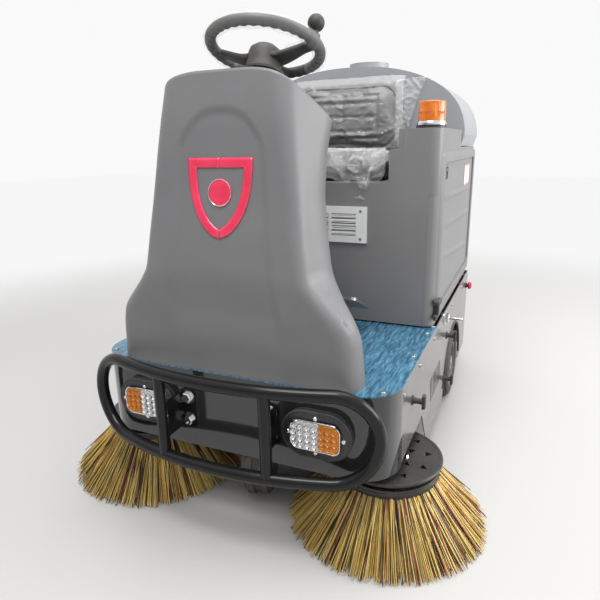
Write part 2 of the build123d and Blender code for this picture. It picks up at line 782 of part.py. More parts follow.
with BuildPart() as hopper_tray:
    block(chassis_rear + 1, hopper_front, -hopper_half_width, hopper_half_width,
          hopper_bottom, hopper_top)
    block(chassis_rear + 1 + sheet, hopper_front - sheet, -hopper_half_width + sheet,
          hopper_half_width - sheet, hopper_bottom + sheet, hopper_top, mode=Mode.SUBTRACT)
    for side in (-1, 1):
        block(chassis_rear + 1, hopper_front, side * (hopper_half_width - sheet),
              side * (hopper_half_width + 11), hopper_top - sheet, hopper_top)
        block(-half_length + 10, chassis_rear + 2, side * 90, side * 102, 206, 218)
    block(-half_length, -half_length + 12, -102, 102, 206, 218)
save(hopper_tray.part, "hopper_tray")

# ---------------------------------------------------------------- hood
shoulder_inner = seat_well_half + 20


def hood_block(inset):
    """The hood's outside, or with an inset its inside, as one closed solid."""
    base = hood_bottom - (1 if inset else 0)
    width = 2 * (hood_half_width - inset)
    length = hood_front - hood_rear - 2 * inset
    with BuildPart() as body:
        with BuildSketch(Plane.XY.offset(base)):
            with Locations(((hood_front + hood_rear) / 2, 0)):
                RectangleRounded(length, width, 32 - inset)
        extrude(amount=hood_rear_top - inset - base)
        for side in (-1, 1):
            with BuildSketch(Plane.XY.offset(hood_rear_top - 120)):
                with Locations(((hood_front + seat_well_rear) / 2,
                                side * (hood_half_width + shoulder_inner) / 2)):
                    RectangleRounded(hood_front - seat_well_rear - 2 * inset,
                                     hood_half_width - shoulder_inner - 2 * inset, 28 - inset)
            extrude(amount=shoulder_top - inset - hood_rear_top + 120)
        # the seat well, open at the front
        well_half = seat_well_half + inset
        block(seat_well_rear - inset, hood_front + 10, -well_half, well_half,
              seat_well_floor - inset, shoulder_top + 10, mode=Mode.SUBTRACT)
    return body.part


hood_hinge_x = hood_rear - 11
hood_hinge_z = hood_bottom + 3
hinge_y = 200.0
hinge_pin = 4.0
hinge_radius = 8.0
knuckle_half = 24.0

with BuildPart() as hood_shell:
    add(hood_block(0))
    add(hood_block(hood_wall), mode=Mode.SUBTRACT)
    for side in (-1, 1):
        with BuildSketch(side_plane(side * hinge_y)):
            with Locations((hood_hinge_x, hood_hinge_z)):
                Circle(hinge_radius)
            with Locations(((hood_hinge_x + hood_rear) / 2, hood_hinge_z + hinge_radius / 2)):
                Rectangle(hood_rear - hood_hinge_x, hinge_radius)
            with Locations((hood_hinge_x, hood_hinge_z)):
                Circle(hinge_pin + pin_clearance, mode=Mode.SUBTRACT)
        extrude(amount=knuckle_half, both=True)
save(hood_shell.part, "hood_shell")

with BuildPart() as hood_hinges:
    for side in (-1, 1):
        with BuildSketch(side_plane(side * hinge_y)):
            with Locations((hood_hinge_x, hood_hinge_z)):
                Circle(hinge_pin)
        extrude(amount=knuckle_half + 8, both=True)
        for end in (-1, 1):
            with BuildSketch(side_plane(side * hinge_y + end * (knuckle_half + 2))):
                with Locations((hood_hinge_x, hood_hinge_z)):
                    Circle(hinge_radius)
                with Locations(((hood_hinge_x + chassis_rear) / 2 - 4, hood_hinge_z - 20)):
                    Rectangle(chassis_rear - hood_hinge_x + 8, 40)
            extrude(amount=-end * 6)
save(hood_hinges.part, "hood_hinges")

with BuildPart() as seat_cushion:
    block(seat_well_rear + 64, hood_front - 26, 8 - seat_well_half, seat_well_half - 8,
          seat_well_floor + slide_gap, seat_well_floor + 75)
    fillet(seat_cushion.edges().group_by(Axis.Z)[-1], 24)
save(seat_cushion.part, "seat_cushion")

with BuildPart() as seat_backrest:
    block(seat_well_rear + 1, seat_well_rear + 60, -190, 190,
          seat_well_floor + 80, seat_well_floor + 304)
    fillet(seat_backrest.edges().group_by(Axis.X)[-1], 20)
save(seat_backrest.part, "seat_backrest")


def tank_block(inset):
    """The tank's outside, or with an inset its inside: an arched dome over the hood's rear."""
    arch = tank_half_width - inset
    top = tank_top - inset
    low = hood_rear_top + 2 + inset
    with BuildPart() as body:
        with BuildSketch(front_plane(hood_rear + inset)):
            with BuildLine():
                foot = Polyline((-arch + 12, low), (arch - 12, low))
                wall_right = Line((arch - 12, low), (arch, low + 36))
                crown = Spline((arch, low + 36), (arch - 50, top - 104), (arch - 173, top - 32),
                               (0, top), (173 - arch, top - 32), (50 - arch, top - 104),
                               (-arch, low + 36))
                wall_left = Line((-arch, low + 36), (-arch + 12, low))
            make_face()
        extrude(amount=tank_front - hood_rear - 2 * inset)
    return body.part


neck_x = hood_rear + 154
neck_radius = 62.0
neck_bore = 55.0
neck_top = tank_top + 12
cap_radius = 74.0
cap_height = 24.0
cap_pin = 3.0
cap_hinge_radius = 7.0
cap_hinge_x = neck_x - cap_radius - 9
cap_hinge_z = neck_top + 13
with BuildPart() as rear_tank:
    add(tank_block(0))
    with BuildSketch(Plane.XY.offset(tank_top - 30)):
        with Locations((neck_x, 0)):
            Circle(neck_radius)
    extrude(amount=neck_top - tank_top + 30)
    add(tank_block(tank_wall), mode=Mode.SUBTRACT)
    with BuildSketch(Plane.XY.offset(tank_top - 60)):
        with Locations((neck_x, 0)):
            Circle(neck_bore)
    extrude(amount=90, mode=Mode.SUBTRACT)
    # lugs and pin for the cap
    for side in (-1, 1):
        with BuildSketch(side_plane(side * 12)):
            with Locations((cap_hinge_x, cap_hinge_z)):
                Circle(cap_hinge_radius)
            with Locations((cap_hinge_x, (cap_hinge_z + tank_top - tank_wall) / 2)):
                Rectangle(2 * cap_hinge_radius, cap_hinge_z - tank_top + tank_wall)
        extrude(amount=-side * 6)
    with BuildSketch(side_plane(0)):
        with Locations((cap_hinge_x, cap_hinge_z)):
            Circle(cap_pin)
    extrude(amount=18, both=True)
save(rear_tank.part, "rear_tank")

with BuildPart() as filler_cap:
    with BuildSketch(Plane.XY.offset(neck_top + 1)):
        with Locations((neck_x, 0)):
            Circle(cap_radius)
    extrude(amount=cap_height)
    with BuildSketch(side_plane(0)):
        with Locations((cap_hinge_x, cap_hinge_z)):
            Circle(cap_hinge_radius)
        with Locations(((cap_hinge_x + neck_x - cap_radius) / 2 + 4,
                        cap_hinge_z + cap_hinge_radius / 2)):
            Rectangle(neck_x - cap_radius - cap_hinge_x + 8, cap_hinge_radius)
        with Locations((cap_hinge_x, cap_hinge_z)):
            Circle(cap_pin + pin_clearance, mode=Mode.SUBTRACT)
    extrude(amount=10, both=True)
save(filler_cap.part, "filler_cap")

beacon_x = hood_front - 155
beacon_y = hood_half_width - 57
with BuildPart() as beacon_base:
    with BuildSketch(Plane.XY.offset(shoulder_top)):
        with Locations((beacon_x, beacon_y)):
            Circle(42)
    extrude(amount=22)
save(beacon_base.part, "beacon_base")
with BuildPart() as beacon_lens:
    with BuildSketch(Plane.XY.offset(shoulder_top + 22)):
        with Locations((beacon_x, beacon_y)):
            Circle(39)
    extrude(amount=56, taper=3)
save(beacon_lens.part, "beacon_lens")

with BuildPart() as vent_grille:
    with BuildSketch(front_plane(hood_front)):
        with Locations((80.5, hood_bottom + 288)):
            Rectangle(225, 104)
            Rectangle(161, 64, mode=Mode.SUBTRACT)
            for index in range(5):
                with Locations((0, 12 * (index - 2))):
                    Rectangle(161, 4)
            Rectangle(6, 64)
    extrude(amount=8)
save(vent_grille.part, "vent_grille")
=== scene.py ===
# %% [markdown]
# # A small ride-on floor sweeper
# The machine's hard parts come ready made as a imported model, in metres, with +X forward, +Y the machine's
# left and +Z up. Everything below dresses that model: finishes for the parts that stay, and new meshes for
# the parts whose real surface is soft, hairy or finely moulded. Loading it first gives every piece a place.

import math

import bmesh
import bpy
import numpy as np
from mathutils import Matrix, Vector, noise
from mathutils.bvhtree import BVHTree


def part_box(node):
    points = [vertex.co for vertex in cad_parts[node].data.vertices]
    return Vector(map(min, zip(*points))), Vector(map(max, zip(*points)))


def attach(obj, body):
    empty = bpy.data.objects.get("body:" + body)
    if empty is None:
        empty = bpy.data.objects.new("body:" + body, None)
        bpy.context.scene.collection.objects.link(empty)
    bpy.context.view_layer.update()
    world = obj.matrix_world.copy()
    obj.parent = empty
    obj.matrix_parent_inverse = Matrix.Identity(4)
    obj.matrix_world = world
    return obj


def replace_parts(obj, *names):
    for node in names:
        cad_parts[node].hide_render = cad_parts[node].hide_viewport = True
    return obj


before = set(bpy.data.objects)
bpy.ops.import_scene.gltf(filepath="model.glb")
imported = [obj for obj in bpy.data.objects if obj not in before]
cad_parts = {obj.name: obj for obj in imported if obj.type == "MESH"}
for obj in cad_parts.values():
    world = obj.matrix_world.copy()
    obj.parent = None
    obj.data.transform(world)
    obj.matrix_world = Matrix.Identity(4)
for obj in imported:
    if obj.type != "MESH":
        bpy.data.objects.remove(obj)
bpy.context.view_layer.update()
scene = bpy.context.scene

# %% [markdown]
# ## Helpers for making meshes
# Most of the sweeper's trim is turned, bent from tube, or stamped from plate. Blender has add-primitive
# operators for such things, but a few functions that return corners and faces give control over every
# edge, and many copies can be gathered into one mesh, as a bag of bolts is one item on a parts list.


# %% A collector of corners and faces
class Shape:
    """Corners and faces of one piece, gathered from several simple bodies."""

    def __init__(self):
        self.corners, self.faces, self.finish_of_face = [], [], []

    def add(self, body, place=None, finish=0):
        corners, faces = body
        start = len(self.corners)
        self.corners += [tuple(place @ Vector(c)) if place else tuple(c) for c in corners]
        self.faces += [tuple(start + i for i in face) for face in faces]
        self.finish_of_face += [finish] * len(faces)
        return self

    def piece(self, name, body, slot, finishes, crease=32, smooth=True):
        """Makes the object, gives it its finishes and lets it ride on a body of the machine."""
        mesh = bpy.data.meshes.new(name)
        mesh.from_pydata(self.corners, [], self.faces)
        for material in finishes if isinstance(finishes, (list, tuple)) else [finishes]:
            mesh.materials.append(material)
        mesh.polygons.foreach_set("material_index", self.finish_of_face)
        mesh.polygons.foreach_set("use_smooth", [smooth] * len(mesh.polygons))
        if smooth and crease:
            mesh.set_sharp_from_angle(angle=math.radians(crease))
        mesh.update()
        made = bpy.data.objects.new(name, mesh)
        scene.collection.objects.link(made)
        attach(made, body)
        return made


def facing(origin, direction, up=(0, 0, 1)):
    """A place whose local Z points along direction, for turned and stamped bodies."""
    z = Vector(direction).normalized()
    side = Vector(up).cross(z)
    x = side.normalized() if side.length > 1e-4 else Vector((1, 0, 0))
    y = z.cross(x)
    return Matrix.Translation(origin) @ Matrix((x, y, z)).transposed().to_4x4()


def side_place(side, reach, x=0.0, z=0.0):
    """A place on the machine's left (1) or right (-1): local X forward, Y up, Z outward."""
    turn = Matrix((Vector((1, 0, 0)), Vector((0, 0, 1)), Vector((0, side, 0)))).transposed().to_4x4()
    return Matrix.Translation((x, side * reach, z)) @ turn


def end_place(end, x, y=0.0, z=0.0):
    """A place on the machine's front (1) or back (-1): local X to the left, Y up, Z outward."""
    turn = Matrix((Vector((0, 1, 0)), Vector((0, 0, 1)), Vector((end, 0, 0)))).transposed().to_4x4()
    return Matrix.Translation((x, y, z)) @ turn


def ring_line(centre, radius, steps):
    """Points of a level circle."""
    turns = [2 * math.pi * k / steps for k in range(steps)]
    return [(centre[0] + radius * math.cos(t), centre[1] + radius * math.sin(t), centre[2]) for t in turns]


def box_outline(low_x, high_x, low_y, high_y):
    """The corners of a rectangle, for round_quad."""
    return [(high_x, low_y), (high_x, high_y), (low_x, high_y), (low_x, low_y)]


def add_screws(shape, kind, size, places):
    """Adds a screw or bolt of a kind at each place."""
    for place in places:
        for body in kind(size):
            shape.add(body, place)
    return shape


def turned(profile, steps=40):
    """A body turned on a lathe: profile is (radius, height) from bottom to top."""
    corners, rings, faces = [], [], []
    for radius, height in profile:
        if radius < 1e-6:
            rings.append([len(corners)])
            corners.append((0, 0, height))
        else:
            rings.append([len(corners) + i for i in range(steps)])
            for i in range(steps):
                turn = 2 * math.pi * i / steps
                corners.append((radius * math.cos(turn), radius * math.sin(turn), height))
    for low, high in zip(rings, rings[1:]):
        for i in range(steps):
            j = (i + 1) % steps
            if len(low) == 1 and len(high) > 1:
                faces.append((low[0], high[j], high[i]))
            elif len(high) == 1 and len(low) > 1:
                faces.append((low[i], low[j], high[0]))
            elif len(low) > 1:
                faces.append((low[i], low[j], high[j], high[i]))
    return corners, faces


def swept(line, radius, sides=10, closed=False):
    """A tube along a line of points; radius is a number or one per point."""
    line = [Vector(p) for p in line]
    count = len(line)
    radii = [radius] * count if isinstance(radius, (int, float)) else list(radius)
    corners, faces, normal = [], [], None
    for i, point in enumerate(line):
        before = line[i - 1] if closed or i else line[i]
        after = line[(i + 1) % count] if closed or i < count - 1 else line[i]
        along = (after - before).normalized()
        if normal is None:
            normal = along.orthogonal().normalized()
        normal = (normal - along * normal.dot(along)).normalized()
        other = along.cross(normal)
        for k in range(sides):
            turn = 2 * math.pi * k / sides
            corners.append(point + (normal * math.cos(turn) + other * math.sin(turn)) * radii[i])
    for i in range(count if closed else count - 1):
        j = (i + 1) % count
        for k in range(sides):
            m = (k + 1) % sides
            faces.append((i * sides + k, i * sides + m, j * sides + m, j * sides + k))
    if not closed:
        faces.append(tuple(reversed(range(sides))))
        faces.append(tuple((count - 1) * sides + k for k in range(sides)))
    return corners, faces


def rounded(width, height, radius, steps=6):
    """The outline of a rectangle with round corners, centred on its own middle."""
    outline = []
    for index, (sx, sy) in enumerate(((1, 1), (-1, 1), (-1, -1), (1, -1))):
        for k in range(steps + 1):
            turn = math.pi / 2 * (index + k / steps)
            outline.append((sx * (width / 2 - radius) + radius * math.cos(turn),
                            sy * (height / 2 - radius) + radius * math.sin(turn)))
    return outline


def stamped(outline, thickness, edge=0.0):
    """A plate cut to an outline, with a small chamfer round its top edge."""
    count = len(outline)
    middle = Vector((sum(p[0] for p in outline) / count, sum(p[1] for p in outline) / count))
    layers = [(0.0, 0.0), (thickness - edge, 0.0)] + ([(thickness, edge)] if edge else [])
    corners, faces = [], []
    for height, inset in layers:
        for i, p in enumerate(outline):
            p = Vector(p)
            if inset:
                tangent = (Vector(outline[(i + 1) % count]) - Vector(outline[i - 1])).normalized()
                inward = Vector((-tangent.y, tangent.x))
                if inward.dot(middle - p) < 0:
                    inward.negate()
                p = p + inward * inset
            corners.append((p.x, p.y, height))
    for layer in range(len(layers) - 1):
        for i in range(count):
            j = (i + 1) % count
            a, b = layer * count, (layer + 1) * count
            faces.append((a + i, a + j, b + j, b + i))
    faces.append(tuple(reversed(range(count))))
    faces.append(tuple((len(layers) - 1) * count + i for i in range(count)))
    return corners, faces


def hex_bolt(size):
    """A hexagon bolt head on a round washer; size is the radius across its corners."""
    head = turned([(size, 0.12 * size), (size, 0.75 * size), (0.86 * size, 0.9 * size), (0, 0.9 * size)], 6)
    washer = turned([(1.45 * size, 0), (1.45 * size, 0.16 * size), (0, 0.16 * size)], 24)
    return head, washer


def pan_screw(size):
    """A round screw head with a cross recess."""
    dome = turned([(size, 0), (size, 0.2 * size), (0.8 * size, 0.5 * size), (0.4 * size, 0.62 * size),
                   (0, 0.64 * size)], 20)
    cross = stamped([(0.5 * size, 0.1 * size), (0.1 * size, 0.1 * size), (0.1 * size, 0.5 * size),
                     (-0.1 * size, 0.5 * size), (-0.1 * size, 0.1 * size), (-0.5 * size, 0.1 * size),
                     (-0.5 * size, -0.1 * size), (-0.1 * size, -0.1 * size), (-0.1 * size, -0.5 * size),
                     (0.1 * size, -0.5 * size), (0.1 * size, -0.1 * size), (0.5 * size, -0.1 * size)],
                    0.66 * size)
    return dome, cross


# %% [markdown]
# A screw or badge has to touch the sheet it is fixed to. Typing its height by hand drifts when the CAD
# changes, so a ray is shot at the CAD part and the piece sits where it lands, square to the surface.

# %% Find the surface of a part
surface_trees = {}


def landing(node, origin, direction):
    """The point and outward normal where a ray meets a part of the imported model."""
    if node not in surface_trees:
        built = bmesh.new()
        built.from_mesh(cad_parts[node].data)
        surface_trees[node] = BVHTree.FromBMesh(built)
        built.free()
    return surface_landing(surface_trees[node], origin, direction)


def surface_landing(tree, origin, direction):
    """The point and outward normal where a ray meets a surface."""
    point, normal, _, _ = tree.ray_cast(Vector(origin), Vector(direction))
    if point is None:
        return None, None
    return point, (normal if normal.dot(Vector(direction)) < 0 else -normal)


def edge_round(piece, width, segments=3, angle=30):
    """Rounds the sharp edges of a part with modifiers, so that they catch the light."""
    weld = piece.modifiers.new("join seams", "WELD")
    weld.merge_threshold = 0.00002
    bevel = piece.modifiers.new("round edges", "BEVEL")
    bevel.width, bevel.segments = width, segments
    bevel.limit_method, bevel.angle_limit = "ANGLE", math.radians(angle)
    bevel.harden_normals = True
    return piece


print("helpers ready")

# %% [markdown]
# ## Finishes
# A real finish is never one flat colour: mouldings have a fine spark texture and handling marks, paint
# gathers dust, rubber greys at its edges. Photo textures could show that, but node patterns stay sharp at
# any distance and follow the part in space. One function lays two colours over a slow noise, lets the
# roughness wander over another, and adds a fine grain as bump; special finishes add to it.


# %% Shader nodes in one line each
def shader_node(material, kind, inputs=None, **settings):
    """Adds a node to a material: inputs are linked when they are sockets and set when they are values."""
    made = material.node_tree.nodes.new("ShaderNode" + kind)
    for setting, value in settings.items():
        setattr(made, setting, value)
    for key, value in (inputs or {}).items():
        if isinstance(value, bpy.types.NodeSocket):
            material.node_tree.links.new(value, made.inputs[key])
        else:
            made.inputs[key].default_value = value
    return made


def two_tone(material, source, low, high, start, end):
    """A colour ramp between two colours."""
    made = shader_node(material, "ValToRGB", {"Fac": source})
    first, last = made.color_ramp.elements
    first.position, last.position = low, high
    first.color, last.color = (*start, 1), (*end, 1)
    return made.outputs["Color"]


# %% A finish made of two colours, a wandering gloss and a grain
def finish(name, colour, marks, rough=(0.4, 0.5), patch=7.0, grain=900.0, height=0.00006,
           stretch=(1, 1, 1), dust=0.0, **sockets):
    """A procedural finish; sockets are constants set on the shader itself."""
    material = bpy.data.materials.new(name)
    material.use_nodes = True
    nodes, links = material.node_tree.nodes, material.node_tree.links
    shader = nodes["Principled BSDF"]
    for socket, value in sockets.items():
        shader.inputs[socket.replace("_", " ")].default_value = value
    where = shader_node(material, "TexCoord").outputs["Object"]
    mapped = shader_node(material, "Mapping", {"Scale": stretch, "Vector": where}).outputs["Vector"]

    def cloud(scale, detail=4.0, roughness=0.6):
        return shader_node(material, "TexNoise", {"Scale": scale, "Detail": detail, "Roughness": roughness,
                                                  "Vector": mapped}).outputs["Fac"]

    tone = two_tone(material, cloud(patch), 0.3, 0.75, colour, marks)
    if dust:
        normal = shader_node(material, "NewGeometry").outputs["Normal"]
        upward = shader_node(material, "SeparateXYZ", {"Vector": normal}).outputs["Z"]
        settled = shader_node(material, "Math", {0: upward, 1: 0.5, 2: 0.25}, operation="MULTIPLY_ADD",
                              use_clamp=True).outputs[0]
        speck = shader_node(material, "Math", {0: settled, 1: cloud(38, 6, 0.7)},
                            operation="MULTIPLY").outputs[0]
        amount = shader_node(material, "Math", {0: speck, 1: dust}, operation="MULTIPLY").outputs[0]
        tone = shader_node(material, "Mix", {"Factor": amount, 6: tone, 7: (0.42, 0.39, 0.35, 1)},
                           data_type="RGBA").outputs[2]
    links.new(tone, shader.inputs["Base Color"])
    gloss = shader_node(material, "MapRange", {"Value": cloud(patch * 2.3, 5), "To Min": rough[0],
                                               "To Max": rough[1]})
    links.new(gloss.outputs["Result"], shader.inputs["Roughness"])
    if height:
        bump = shader_node(material, "Bump", {"Distance": height, "Height": cloud(grain, 2)})
        links.new(bump.outputs["Normal"], shader.inputs["Normal"])
    return material


# %% [markdown]
# The sweeper's finishes, from the big mouldings down to the bolts. The cowl and hood are one family of
# spark-textured grey; the side panels are clear-coated metal that mirrors its surroundings; the deck still
# wears its creased blue transport film.

# %% The sweeper's finishes
cowl_plastic = finish("cowl plastic", (0.150, 0.150, 0.155), (0.172, 0.172, 0.176), (0.36, 0.46), 5,
                      1100, 0.00010)
hood_plastic = finish("hood plastic", (0.178, 0.174, 0.176), (0.200, 0.197, 0.198), (0.38, 0.48), 5,
                      1100, 0.00010)
tank_plastic = finish("tank plastic", (0.270, 0.280, 0.300), (0.305, 0.315, 0.330), (0.32, 0.42), 6,
                      1000, 0.00008)
panel_paint = finish("warm grey paint", (0.125, 0.120, 0.115), (0.150, 0.145, 0.138), (0.20, 0.30), 4,
                     60, 0.00002, Metallic=0.15, Coat_Weight=0.25, Coat_Roughness=0.08)
wrap_paint = finish("dark grey paint", (0.026, 0.026, 0.028), (0.038, 0.038, 0.040), (0.08, 0.16), 4,
                    60, 0.00002, Metallic=0.25, Coat_Weight=0.7, Coat_Roughness=0.05)
frame_paint = finish("satin black frame paint", (0.020, 0.020, 0.021), (0.036, 0.035, 0.034),
                     (0.35, 0.5), 14, 500, 0.00008, dust=0.5)
bumper_paint = finish("gloss black powder coat", (0.006, 0.006, 0.0065), (0.010, 0.010, 0.011),
                      (0.14, 0.22), 10, 420, 0.00006, Specular_IOR_Level=0.32)
black_moulding = finish("black moulding", (0.014, 0.014, 0.015), (0.026, 0.026, 0.027), (0.22, 0.34),
                        16, 900, 0.00006, dust=0.12)
rubber = finish("moulded rubber", (0.016, 0.016, 0.016), (0.030, 0.029, 0.028), (0.5, 0.65), 30, 700,
                0.00012, dust=0.25)
tyre_rubber = finish("dusty tyre rubber", (0.030, 0.028, 0.026), (0.105, 0.092, 0.078), (0.7, 0.9), 45,
                     600, 0.0002, dust=0.7)
rear_tyre_rubber = finish("clean tyre rubber", (0.016, 0.016, 0.016), (0.034, 0.032, 0.030),
                          (0.55, 0.75), 40, 600, 0.0002, dust=0.4)
chrome = finish("bright chrome", (0.78, 0.78, 0.79), (0.66, 0.66, 0.67), (0.06, 0.14), 40, 200, 0.00001,
                Metallic=1.0)
steel = finish("zinc plated steel", (0.50, 0.50, 0.50), (0.36, 0.35, 0.33), (0.26, 0.42), 60, 900,
               0.00004, Metallic=1.0)
rim_paint = finish("rim paint", (0.16, 0.16, 0.165), (0.23, 0.225, 0.22), (0.35, 0.5), 20, 300, 0.00005,
                   dust=0.6)
amber_glass = finish("amber lens", (0.85, 0.27, 0.012), (0.95, 0.36, 0.02), (0.08, 0.16), 60, 300,
                     0.00003, Transmission_Weight=0.35, IOR=1.49, Coat_Weight=0.5)
beacon_glass = finish("orange beacon lens", (0.86, 0.18, 0.010), (0.95, 0.30, 0.02), (0.06, 0.14), 40,
                      300, 0.00003, Transmission_Weight=0.45, IOR=1.49, Coat_Weight=0.6)
clear_glass = finish("clear lens", (0.90, 0.90, 0.90), (0.80, 0.80, 0.81), (0.05, 0.12), 60, 300,
                     0.00003, Transmission_Weight=0.55, IOR=1.49, Coat_Weight=0.5)
red_plastic = finish("red plastic", (0.42, 0.010, 0.035), (0.55, 0.02, 0.06), (0.12, 0.22), 30, 400,
                     0.00003, Coat_Weight=0.5)
emblem_enamel = finish("emblem enamel", (0.70, 0.022, 0.075), (0.82, 0.045, 0.12), (0.10, 0.18), 25, 300,
                       0.00003, Coat_Weight=0.7)
vent_plastic = finish("pale vent plastic", (0.66, 0.66, 0.65), (0.76, 0.76, 0.745), (0.35, 0.5), 20,
                      800, 0.00006)
label_paper = finish("label paper", (0.74, 0.66, 0.65), (0.82, 0.76, 0.75), (0.3, 0.42), 40, 500, 0.00002)
yellow_plastic = finish("yellow plastic", (0.70, 0.55, 0.03), (0.80, 0.64, 0.06), (0.2, 0.3), 30, 400,
                        0.00003)
case_plastic = finish("battery case", (0.035, 0.035, 0.04), (0.055, 0.055, 0.06), (0.4, 0.55), 12, 500,
                      0.00008, dust=0.5)
seat_vinyl = finish("black vinyl", (0.014, 0.014, 0.015), (0.026, 0.026, 0.028), (0.34, 0.50), 18, 420,
                    0.00022, Coat_Weight=0.15, Coat_Roughness=0.4)
bristle_finishes = [
    finish("yellow bristle", (0.60, 0.40, 0.085), (0.74, 0.54, 0.16), (0.3, 0.45), 60, 400, 0),
    finish("straw bristle", (0.62, 0.50, 0.16), (0.76, 0.64, 0.28), (0.3, 0.45), 60, 400, 0),
    finish("tan bristle", (0.42, 0.26, 0.06), (0.54, 0.36, 0.11), (0.35, 0.5), 60, 400, 0),
    finish("brown bristle", (0.11, 0.040, 0.018), (0.19, 0.070, 0.03), (0.35, 0.5), 60, 400, 0),
    finish("red brown bristle", (0.30, 0.045, 0.022), (0.42, 0.08, 0.04), (0.35, 0.5), 60, 400, 0),
    finish("dark bristle", (0.020, 0.014, 0.012), (0.05, 0.035, 0.03), (0.35, 0.5), 60, 400, 0),
]
print("finishes", len(bpy.data.materials))

# %% [markdown]
# The blue deck is sheet steel under a transport film. The film's gloss breaks up into long creases that
# run across each other, so two stretched noises are crossed: their ridges raise the film slightly and
# lighten the blue, and that lighter blue is a painted highlight, the shine the creases would catch.


# %% Blue film over the deck
def creased_film(name, deep, pale):
    material = finish(name, deep, pale, (0.14, 0.34), 9, 500, 0)
    links, shader = material.node_tree.links, material.node_tree.nodes["Principled BSDF"]
    where = shader_node(material, "TexCoord").outputs["Object"]
    streaks = []
    for turn, scale in ((0.6, 20.0), (-0.9, 26.0)):
        mapping = shader_node(material, "Mapping", {"Rotation": (0, 0, turn), "Scale": (1, 6, 1),
                                                    "Vector": where})
        cloud = shader_node(material, "TexNoise", {"Scale": scale, "Detail": 5, "Distortion": 0.8,
                                                   "Vector": mapping.outputs["Vector"]})
        streaks.append(cloud.outputs["Fac"])
    both = shader_node(material, "Math", {0: streaks[0], 1: streaks[1]}, operation="MULTIPLY").outputs[0]
    # the pale colour along the crossed ridges is a painted highlight; only the bump below is the film's real crease
    links.new(two_tone(material, both, 0.17, 0.42, deep, pale), shader.inputs["Base Color"])
    bump = shader_node(material, "Bump", {"Distance": 0.0022, "Height": both})
    links.new(bump.outputs["Normal"], shader.inputs["Normal"])
    return material


# the second colour is the painted highlight laid along the film's creases
deck_film = creased_film("blue deck film", (0.022, 0.085, 0.150), (0.115, 0.285, 0.40))
print("deck film ready")

# %% [markdown]
# Clear wrap on the seat and the steering wheel is nearly invisible where it lies flat and turns white
# where it is creased. Glass would cost much render time for so thin a sheet, so it is an ordinary shiny
# surface whose opacity follows a sharp noise: mostly see-through, with milky creases.


# %% Crinkled clear wrap
def clear_wrap(name, scale, low, high):
    material = finish(name, (0.86, 0.86, 0.85), (0.95, 0.95, 0.94), (0.10, 0.22), 30, 160, 0.0012,
                      Specular_IOR_Level=0.8)
    where = shader_node(material, "TexCoord").outputs["Object"]
    crease = shader_node(material, "TexNoise", {"Scale": scale, "Detail": 4, "Vector": where},
                         noise_type="RIDGED_MULTIFRACTAL")
    opacity = shader_node(material, "MapRange", {"From Min": 0.35, "From Max": 1.5, "To Min": low,
                                                 "To Max": high, "Value": crease.outputs["Fac"]})
    material.node_tree.links.new(opacity.outputs["Result"],
                                 material.node_tree.nodes["Principled BSDF"].inputs["Alpha"])
    return material


seat_wrap_film = clear_wrap("seat wrap", 16, 0.22, 0.85)
wheel_wrap_film = clear_wrap("wheel wrap", 34, 0.12, 0.65)

# %% [markdown]
# The CAD parts whose shape is already right keep their mesh and take a finish, and the thin sheet and cast
# ones get their edges rounded by modifiers, because a dead sharp edge is what makes a render look like a
# drawing.

# %% Finishes for the CAD parts that stay
kept_parts = {
    frame_paint: ("chassis_frame", "hopper_runners", "roller_housing", "brush_arm_left",
                  "brush_arm_right", "front_fork"),
    wrap_paint: ("front_panel",),
    panel_paint: ("side_panel_left", "side_panel_right", "rear_panel", "hopper_tray"),
    deck_film: ("deck_plate",),
    cowl_plastic: ("front_cowl",),
    hood_plastic: ("hood_shell",),
    tank_plastic: ("rear_tank", "filler_cap"),
    black_moulding: ("dash_panel", "headlamp_bases", "brush_disc_left", "brush_disc_right"),
    rubber: ("steering_column", "steering_wheel", "panel_knobs"),
    bumper_paint: ("bumper_bar",),
    chrome: ("side_pegs", "beacon_base"),
    steel: ("foot_pedal", "rear_axle", "hood_hinges", "roller_core"),
    red_plastic: ("red_knobs", "rear_lamps"),
    clear_glass: ("lamp_lenses_clear",),
    amber_glass: ("lamp_lenses_amber",),
    beacon_glass: ("beacon_lens",),
    tyre_rubber: ("front_tyre",),
    rear_tyre_rubber: ("rear_tyre_left", "rear_tyre_right"),
    rim_paint: ("front_rim", "rear_rim_left", "rear_rim_right"),
    vent_plastic: ("vent_grille",),
    case_plastic: ("battery_pack",),
    seat_vinyl: ("seat_cushion", "seat_backrest"),
    bristle_finishes[0]: ("brush_bristles_left", "brush_bristles_right"),
    bristle_finishes[5]: ("roller_bristles",),
}
for kept_finish, kept_names in kept_parts.items():
    for kept_name in kept_names:
        kept_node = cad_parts[kept_name]
        kept_node.data.materials.clear()
        kept_node.data.materials.append(kept_finish)
edge_round(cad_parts["hood_shell"], 0.016, 4)
edge_round(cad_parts["rear_tank"], 0.014, 4)
print("kept parts", sum(map(len, kept_parts.values())))

# %% [markdown]
# ## The cowl
# The cowl is one rotational moulding: a flared skirt that draws in over sloping shoulders to a tall neck,
# with a shallow arched recess down its face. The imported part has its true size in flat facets. Here the
# same cross-sections are rounded at their corners and joined by a smooth curve, which is how a moulder's
# loft works, and the recess is pressed into the face with a soft edge.

